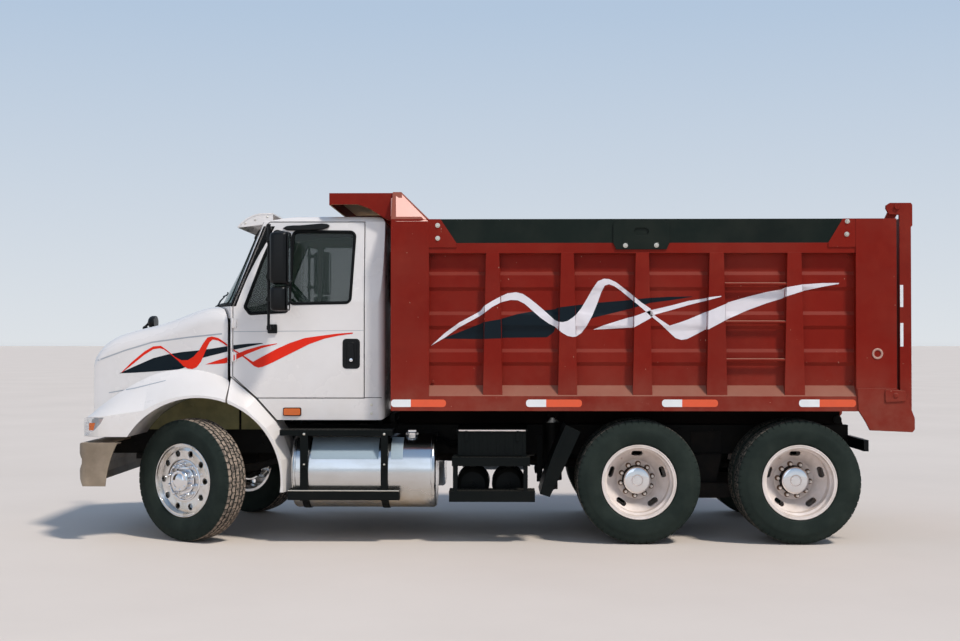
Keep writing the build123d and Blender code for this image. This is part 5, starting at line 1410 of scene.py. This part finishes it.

# =====================================================================
# bumper: fog lamps, blank plate, bolts
# =====================================================================
shape = Shape()
for s in (-1, 1):
    shape.turned((-3651, s * 690, 610), (-1, 0, 0), [(0, 64), (6, 66), (9, 62), (6, 56), (2, 54)], 32,
                 closed=True)
shape.piece("fog_rings", "chassis", "black_plastic")
shape = Shape()
for s in (-1, 1):
    shape.turned((-3648, s * 690, 610), (-1, 0, 0), [(0, 54), (6, 50), (9, 30), (10, 0)], 28)
shape.piece("fog_lenses", "chassis", "lamp_white")
shape = Shape()
shape.prism(rounded([(-230, 560), (230, 560), (230, 690), (-230, 690)], 8), (-3651, 0, 0), (0, 1, 0), (0, 0, 1),
            (-5, 0, 0))
for y in (-170, 170):
    shape.turned((-3655, y, 668), (-1, 0, 0), [(0, 7), (3, 7), (4, 4), (4, 0)], 12)
shape.piece("blank_plate", "chassis", "sticker_white", bevel=1)
shape = Shape()
for s in (-1, 1):
    for y in (300, 560):
        shape.turned((-3661, s * y, 832), (-1, 0, 0), [(-2, 13), (2, 13), (3.6, 8), (3.6, 0)], 16)
shape.piece("bumper_bolts", "chassis", "bolt")

# =====================================================================
# tanks and steps
# =====================================================================
for side, s in SIDES:
    shape = Shape()
    for x0, x1 in ((-1600, -1005), (-895, -790)):
        seg = 10
        a0, a1 = math.radians(22), math.radians(66)
        pts = []
        for q in range(seg + 1):
            w = a0 + (a1 - a0) * q / seg
            for rr in (331.2, 333.0):
                for x in (x0, x1):
                    pts.append((x, s * (885 + rr * math.cos(w)), 620 + rr * math.sin(w)))
        faces = []
        for q in range(seg):
            b, c = q * 4, q * 4 + 4
            faces += [(b, c, c + 1, b + 1), (b + 2, b + 3, c + 3, c + 2), (b, b + 2, c + 2, c), (b + 1, c + 1, c + 3, b + 3)]
        faces += [(0, 1, 3, 2), (seg * 4, seg * 4 + 2, seg * 4 + 3, seg * 4 + 1)]
        shape.add(pts, faces)
        n = int((x1 - x0) / 30)
        for i in range(n):
            for r in range(8):
                w = a0 + (a1 - a0) * (r + 0.5) / 8
                d = Vector((0, s * math.cos(w), math.sin(w)))
                up = Vector((0, -s * math.sin(w), math.cos(w)))
                c = Vector((x0 + 15 + 30 * i, s * 885, 620)) + d * 332.6
                slant = 1 if (i + r) % 2 else -1
                u = (Vector((1, 0, 0)) + up * slant).normalized() * 11
                v = u.cross(d).normalized() * 2.8
                shape.add([c + u, c + v, c - u, c - v, c + d * 1.8 + u * 0.7, c + d * 1.8 + v * 0.6,
                           c + d * 1.8 - u * 0.7, c + d * 1.8 - v * 0.6],
                          [(4, 5, 6, 7), (0, 1, 5, 4), (1, 2, 6, 5), (2, 3, 7, 6), (3, 0, 4, 7)])
    shape.piece(f"tread_plate_{side}", "chassis", "tread_alloy", smooth=30)
    # filler cap with handle
    shape = Shape()
    shape.turned((-720, s * 985, 940), (0, 0, 1), [(0, 50), (6, 52), (24, 52), (30, 46), (31, 0)], 36)
    for k in range(12):
        w = math.radians(30 * k)
        shape.turned((-720 + 51 * math.cos(w), s * 985 + 51 * math.sin(w), 946), (0, 0, 1), [(0, 4), (18, 4), (18, 0)], 8)
    shape.box(-756, -684, s * 978, s * 992, 970, 986)
    shape.piece(f"filler_cap_{side}", "chassis", "chrome", bevel=1.2)
    # end seams, strap tensioners
    shape = Shape()
    for x in (-1737, -538):
        shape.turned((x, s * 885, 620), (1, 0, 0), [(-6, 330), (-3, 332.5), (3, 332.5), (6, 330)], 96, closed=True)
    shape.piece(f"tank_seams_{side}", "chassis", "alloy")
    shape = Shape()
    for x in (-1655, -950):
        shape.turned((x, s * 885, 620), (1, 0, 0), [(-26, 338), (-24, 339.6), (24, 339.6), (26, 338)], 96, closed=True)
        for w in (math.radians(8), math.radians(148)):
            c = Vector((x, s * (885 + 345 * math.cos(w)), 620 + 345 * math.sin(w)))
            shape.box(c.x - 26, c.x + 26, c.y - 9, c.y + 9, c.z - 9, c.z + 9)
            shape.tube([c + Vector((0, 0, -46)), c + Vector((0, 0, 46))], 6, 10)
            shape.hexnut(c + Vector((0, 0, 12)), (0, 0, 1), 19, 12)
    shape.piece(f"strap_bolts_{side}", "chassis", "step_black", bevel=1)
    # teeth and worn front edge of the steps
    shape = Shape()
    for i in range(24):
        x = -1850 + 40 * i
        for k in range(4):
            y = 1030 + 50 * k
            shape.turned((x + (20 if k % 2 else 0), s * y, 999), (0, 0, 1), [(0, 11), (2.5, 10), (4.5, 7), (4.5, 0)], 8)
    for i in range(23):
        x = -1780 + 41 * i
        for k in range(3):
            y = 1100 + 46 * k
            shape.turned((x + (20 if k % 2 else 0), s * y, 473), (0, 0, 1), [(0, 11), (2.5, 10), (4.5, 7), (4.5, 0)], 8)
    shape.piece(f"step_grip_{side}", "chassis", "step_black")
    shape = Shape()
    shape.box(-1796, -816, s * 1234, s * 1241.5, 466, 475.5)
    shape.piece(f"step_edge_{side}", "chassis", "bolt", bevel=2)
    shape = Shape()
    for x in (-1655, -950):
        for z in (420, 440):
            shape.turned((x - 12, s * 1227, z + 2), (0, s, 0), [(0, 9), (4, 9), (6, 5), (6, 0)], 12)
        shape.turned((x, s * 1227, 965), (0, s, 0), [(0, 11), (4, 11), (7, 6), (7, 0)], 14)
        shape.turned((x, s * 1227, 700), (0, s, 0), [(0, 9), (4, 9), (6, 5), (6, 0)], 14)
    shape.piece(f"hanger_bolts_{side}", "chassis", "bolt")

# hoses and pipe runs along the left rail, each end in a fitting
shape = Shape()
for z, y0, drop in ((905, -470, 60), (880, -484, 90), (852, -466, 30)):
    path = [(-520, y0, z - 20), (-460, y0 - 22, z - drop * 0.4), (-400, y0 - 26, z - drop), (-340, y0 - 16, z - drop),
            (-300, y0 + 4, z - drop * 0.7)]
    shape.tube(path, 13, 12)
    for p, q in ((path[0], path[1]), (path[-1], path[-2])):
        d = (Vector(q) - Vector(p)).normalized()
        shape.turned(p, d, [(0, 0), (0, 19), (26, 19), (30, 15), (40, 14.5)], 16)
shape.box(-548, -518, -500, -440, 800, 940)
shape.box(-308, -290, -500, -432, 780, 930)
shape.piece("rail_hoses", "chassis", "rubber", bevel=1)
shape = Shape()
for side, s in SIDES:
    for z in (960, 890, 820):
        for x in list(range(-3400, 3200, 300)):
            shape.turned((x + 40, s * 429.5, z), (0, s, 0), [(0, 12), (4, 12), (7, 8), (7, 0)], 12)
shape.piece("rail_bolts", "chassis", "iron")

# battery box: lid catch, a pale strip along its top edge as a painted highlight, ribs
shape = Shape()
shape.box(-300, 290, -1166, -1161, 988, 1000)
shape.piece("battery_top_highlight", "chassis", "rim_white", bevel=1.5)
shape = Shape()
for x in (-230, 220):
    shape.box(x - 14, x + 14, -1163, -1150, 900, 996)
    shape.tube([(x - 10, -1166, 985), (x + 10, -1166, 985)], 7, 10)
for i in range(8):
    x = -270 + 76 * i
    shape.box(x, x + 26, -1153.5, -1149, 790, 960)
for x0, x1, z in ((-350, 320, 763), (-375, 364, 468)):
    for i in range(int((x1 - x0) / 42)):
        for k in range(4):
            x, y = x0 + 22 + 42 * i + (20 if k % 2 else 0), -1190 + 56 * k
            if x < x1 - 8:
                shape.turned((x, y, z - 1), (0, 0, 1), [(0, 10), (3, 9), (5, 6), (5, 0)], 8)
shape.piece("battery_trim", "chassis", "step_black", bevel=1)
# bands round the air tanks, drain cocks
shape = Shape()
for x in (-180, 140):
    for y in (-880, -600):
        shape.turned((x, y, 500), (0, 1, 0), [(-16, 146), (-16, 149.5), (16, 149.5), (16, 146)], 48, closed=True)
    shape.turned((x, -966, 500), (0, -1, 0), [(0, 30), (8, 30), (8, 18), (16, 16), (18, 0)], 20)
    shape.tube([(x, -740, 356), (x, -740, 338), (x + 12, -740, 330)], 7)
shape.piece("air_tank_bands", "chassis", "step_black", bevel=1)
# heat shield on the silencer
shape = Shape()
for i in range(9):
    x = -290 + 66 * i
    shape.turned((x, 700, 620), (1, 0, 0), [(-5, 150), (0, 153.5), (5, 150)], 48, closed=True)
shape.piece("silencer_ribs", "chassis", "steel")
# brake chambers behind the drive wheels and on the front axle
shape = Shape()
for x, turn in ((1283, -1), (2683, 1)):
    for s in (-1, 1):
        c = Vector((x + turn * 210, s * 470, 610))
        shape.turned(c, (turn, 0, 0), [(-90, 0), (-90, 40), (-60, 78), (-8, 84), (-6, 90), (6, 90), (8, 84), (60, 78),
                                       (90, 60), (96, 0)], 28)
        shape.tube([c + Vector((-turn * 88, 0, 0)), c + Vector((-turn * 190, 0, -10))], 12)
shape.piece("brake_chambers", "chassis", "iron", bevel=1)

# arch liners: ribbed inner face of the front wheel arches
shape = Shape()
for s in (-1, 1):
    for part, (w0, w1) in (("rear", (12, 62)),):
        n = 14
        pts = []
        for q in range(n + 1):
            w = math.radians(w0 + (w1 - w0) * q / n)
            for y in (650, 1180):
                for r in (732, 734.4):
                    pts.append((-2600 + r * math.cos(w), s * y, 545 + r * math.sin(w)))
        faces = []
        for q in range(n):
            b, c = q * 4, q * 4 + 4
            faces += [(b, b + 2, c + 2, c), (b + 1, c + 1, c + 3, b + 3), (b, c, c + 1, b + 1), (b + 2, b + 3, c + 3, c + 2)]
        faces += [(0, 1, 3, 2), (n * 4, n * 4 + 2, n * 4 + 3, n * 4 + 1)]
        shape.add(pts, faces)
shape.piece("arch_liners", "chassis", "olive", smooth=50)
# splash shields closing the inner side of the front arches
for label, body, x0, x1 in (("hood", "hood", -3330, -2362), ("cab", "chassis", -2340, -1884)):
    shape = Shape()
    for s in (-1, 1):
        n = 30
        top = [(x0 + (x1 - x0) * i / n) for i in range(n + 1)]
        outline = [(x, 545 + math.sqrt(max(0, 732.5 ** 2 - (x + 2600) ** 2))) for x in top]
        outline = [(x, z) for x, z in outline if z > 961]
        outline += [(outline[-1][0], 960), (outline[0][0], 960)]
        shape.prism(outline, (0, s * 541, 0), (1, 0, 0), (0, 0, 1), (0, s * 3.5, 0))
        for bx, bz in ((-2800, 1180), (-2460, 1200), (-2130, 1010)):
            if x0 < bx < x1:
                shape.turned((bx, s * 544, bz), (0, s, 0), [(0, 15), (4, 15), (7, 9), (7, 0)], 16)
    shape.piece(f"splash_shield_{label}", body, "olive")
shape = Shape()
shape.box(-955, -905, -600, 600, 1040, 1112)
for s in (-1, 1):
    shape.box(-955, -905, s * 395, s * 460, 960, 1045)
shape.piece("cab_rear_beam", "chassis", "frame_black", bevel=4)

# =====================================================================
# bed
# =====================================================================
def spot(x, y, face):
    X, Z = at_depth(x, y, -face)
    return X, Z


shape = Shape()
for x, y, face in ((437.7, 225.4, 1248), (437.7, 238.3, 1248), (847.4, 221.3, 1248), (846.8, 234.1, 1248),
                   (625.5, 245.5, 1252), (656.5, 245.2, 1252)):
    X, Z = spot(x, y, face)
    for s in (-1, 1):
        shape.turned((X, s * (face - 0.5), Z), (0, s, 0), [(0, 21), (3, 21), (4, 14), (4, 0)], 24)
        shape.hexnut((X, s * (face + 3), Z), (0, s, 0), 24, 9)
shape.piece("board_bolts", "bed", "bolt", bevel=0.8)
shape = Shape()
for x0, x1 in ((391, 446), (526, 582), (662, 718), (799, 856)):
    X0, Z1 = spot(x0, 399.5, 1250)
    X1, Z0 = spot(x1, 407, 1250)
    pill = rounded([(X0, Z0), (X1, Z0), (X1, Z1), (X0, Z1)], 28, 6)
    cut = X0 + (X1 - X0) * 0.36
    for s in (-1, 1):
        for mat, window in ((0, [(X0 - 9, 0), (cut, 0), (cut, 3000), (X0 - 9, 3000)]),
                            (1, [(cut, 0), (X1 + 9, 0), (X1 + 9, 3000), (cut, 3000)])):
            half = clip(pill, window)
            shape.prism([tuple(p) for p in half], (0, s * 1249.6, 0), (1, 0, 0), (0, 0, 1), (0, s * 1.6, 0), mat)
shape.piece("marker_strips", "bed", "sticker_white", "sticker_orange")
shape = Shape()
X, Z = spot(877.5, 353.7, 1250)
for s in (-1, 1):
    shape.turned((X, s * 1249, Z), (0, s, 0), [(0, 46), (4, 48), (8, 44), (8, 34), (4, 30), (0, 30)], 36,
                 closed=True)
shape.piece("post_ring", "bed", "ring_steel")
shape = Shape()
for y0, y1 in ((285, 307), (323, 346.5)):
    X0, Z1 = spot(896.2, y0, 1225)
    X1, Z0 = spot(898.9, y1, 1225)
    for s in (-1, 1):
        shape.box(3553, 3580, s * 1224.5, s * 1226.6, Z0, Z1)
shape.piece("gate_reflectors", "tailgate", "sticker_white")
# welds and folded edges on the bed: along the ribs' feet and under the top rail
shape = Shape()
for s in (-1, 1):
    for a, b in RIBS:
        for x, turn in ((a, -1), (b, 1)):
            path = [(flank(x, z, turn) + turn * 2, s * (panel_y(z) + 1), z) for z in range(1400, 2550, 46)]
            shape.tube(path, [4.5 + 1.2 * ((i * 7) % 3 - 1) for i in range(len(path))], 6)
    shape.tube([(x, s * 1173, 2548) for x in (-555, 3162)], 5, 6)
shape.piece("bed_welds", "bed", "red")
# bolts at the panel ends beside the posts
shape = Shape()
for s in (-1, 1):
    for x in (-545, 3150):
        for z in (1420, 2520):
            shape.hexnut((x + (22 if x < 0 else -22), s * 1172, z), (0, s, 0), 26, 12)
shape.piece("panel_bolts", "bed", "red")
# gate latch at the foot of the rear post
shape = Shape()
X0, Z1 = spot(885, 391, 1262)
X1, Z0 = spot(906, 400, 1262)
for s in (-1, 1):
    shape.prism(rounded([(X0, Z0 - 20), (X1, Z0 - 10), (X1, Z1), (X0, Z1 + 14)], 18), (0, s * 1261, 0), (1, 0, 0),
                (0, 0, 1), (0, s * 12, 0))
    shape.turned(((X0 + X1) / 2, s * 1272, (Z0 + Z1) / 2), (0, s, 0), [(0, 22), (6, 22), (9, 14), (9, 0)], 24)
shape.piece("gate_latch", "bed", "red", bevel=3)
# rear lamps
red = Shape()
for side, s in SIDES:
    for y in (460, 660, 860):
        r = 36 if y < 800 else 30
        red.turned((3339, s * y, 850), (1, 0, 0), [(0, r - 1), (3, r - 2), (7, r * 0.7), (9, 0)], 32,
                   mat=0 if y != 660 else 1)
red.piece("rear_lenses", "chassis", "lamp_red", "amber")

# =====================================================================
# floor
# =====================================================================
mesh = bpy.data.meshes.new("floor")
mesh.from_pydata([(-350, -60, 0), (350, -60, 0), (350, 380, 0), (-350, 380, 0)], [], [(0, 1, 2, 3)])
floor = bpy.data.objects.new("floor", mesh)
bpy.context.scene.collection.objects.link(floor)
M["floor"] = plain("floor", colour(210, 198, 188), 0.85, specular=0.2)
tint(M["floor"], noise_mask(M["floor"].node_tree, 0.35, 0.3, 0.7), colour(204, 192, 182))
mesh.materials.append(M["floor"])
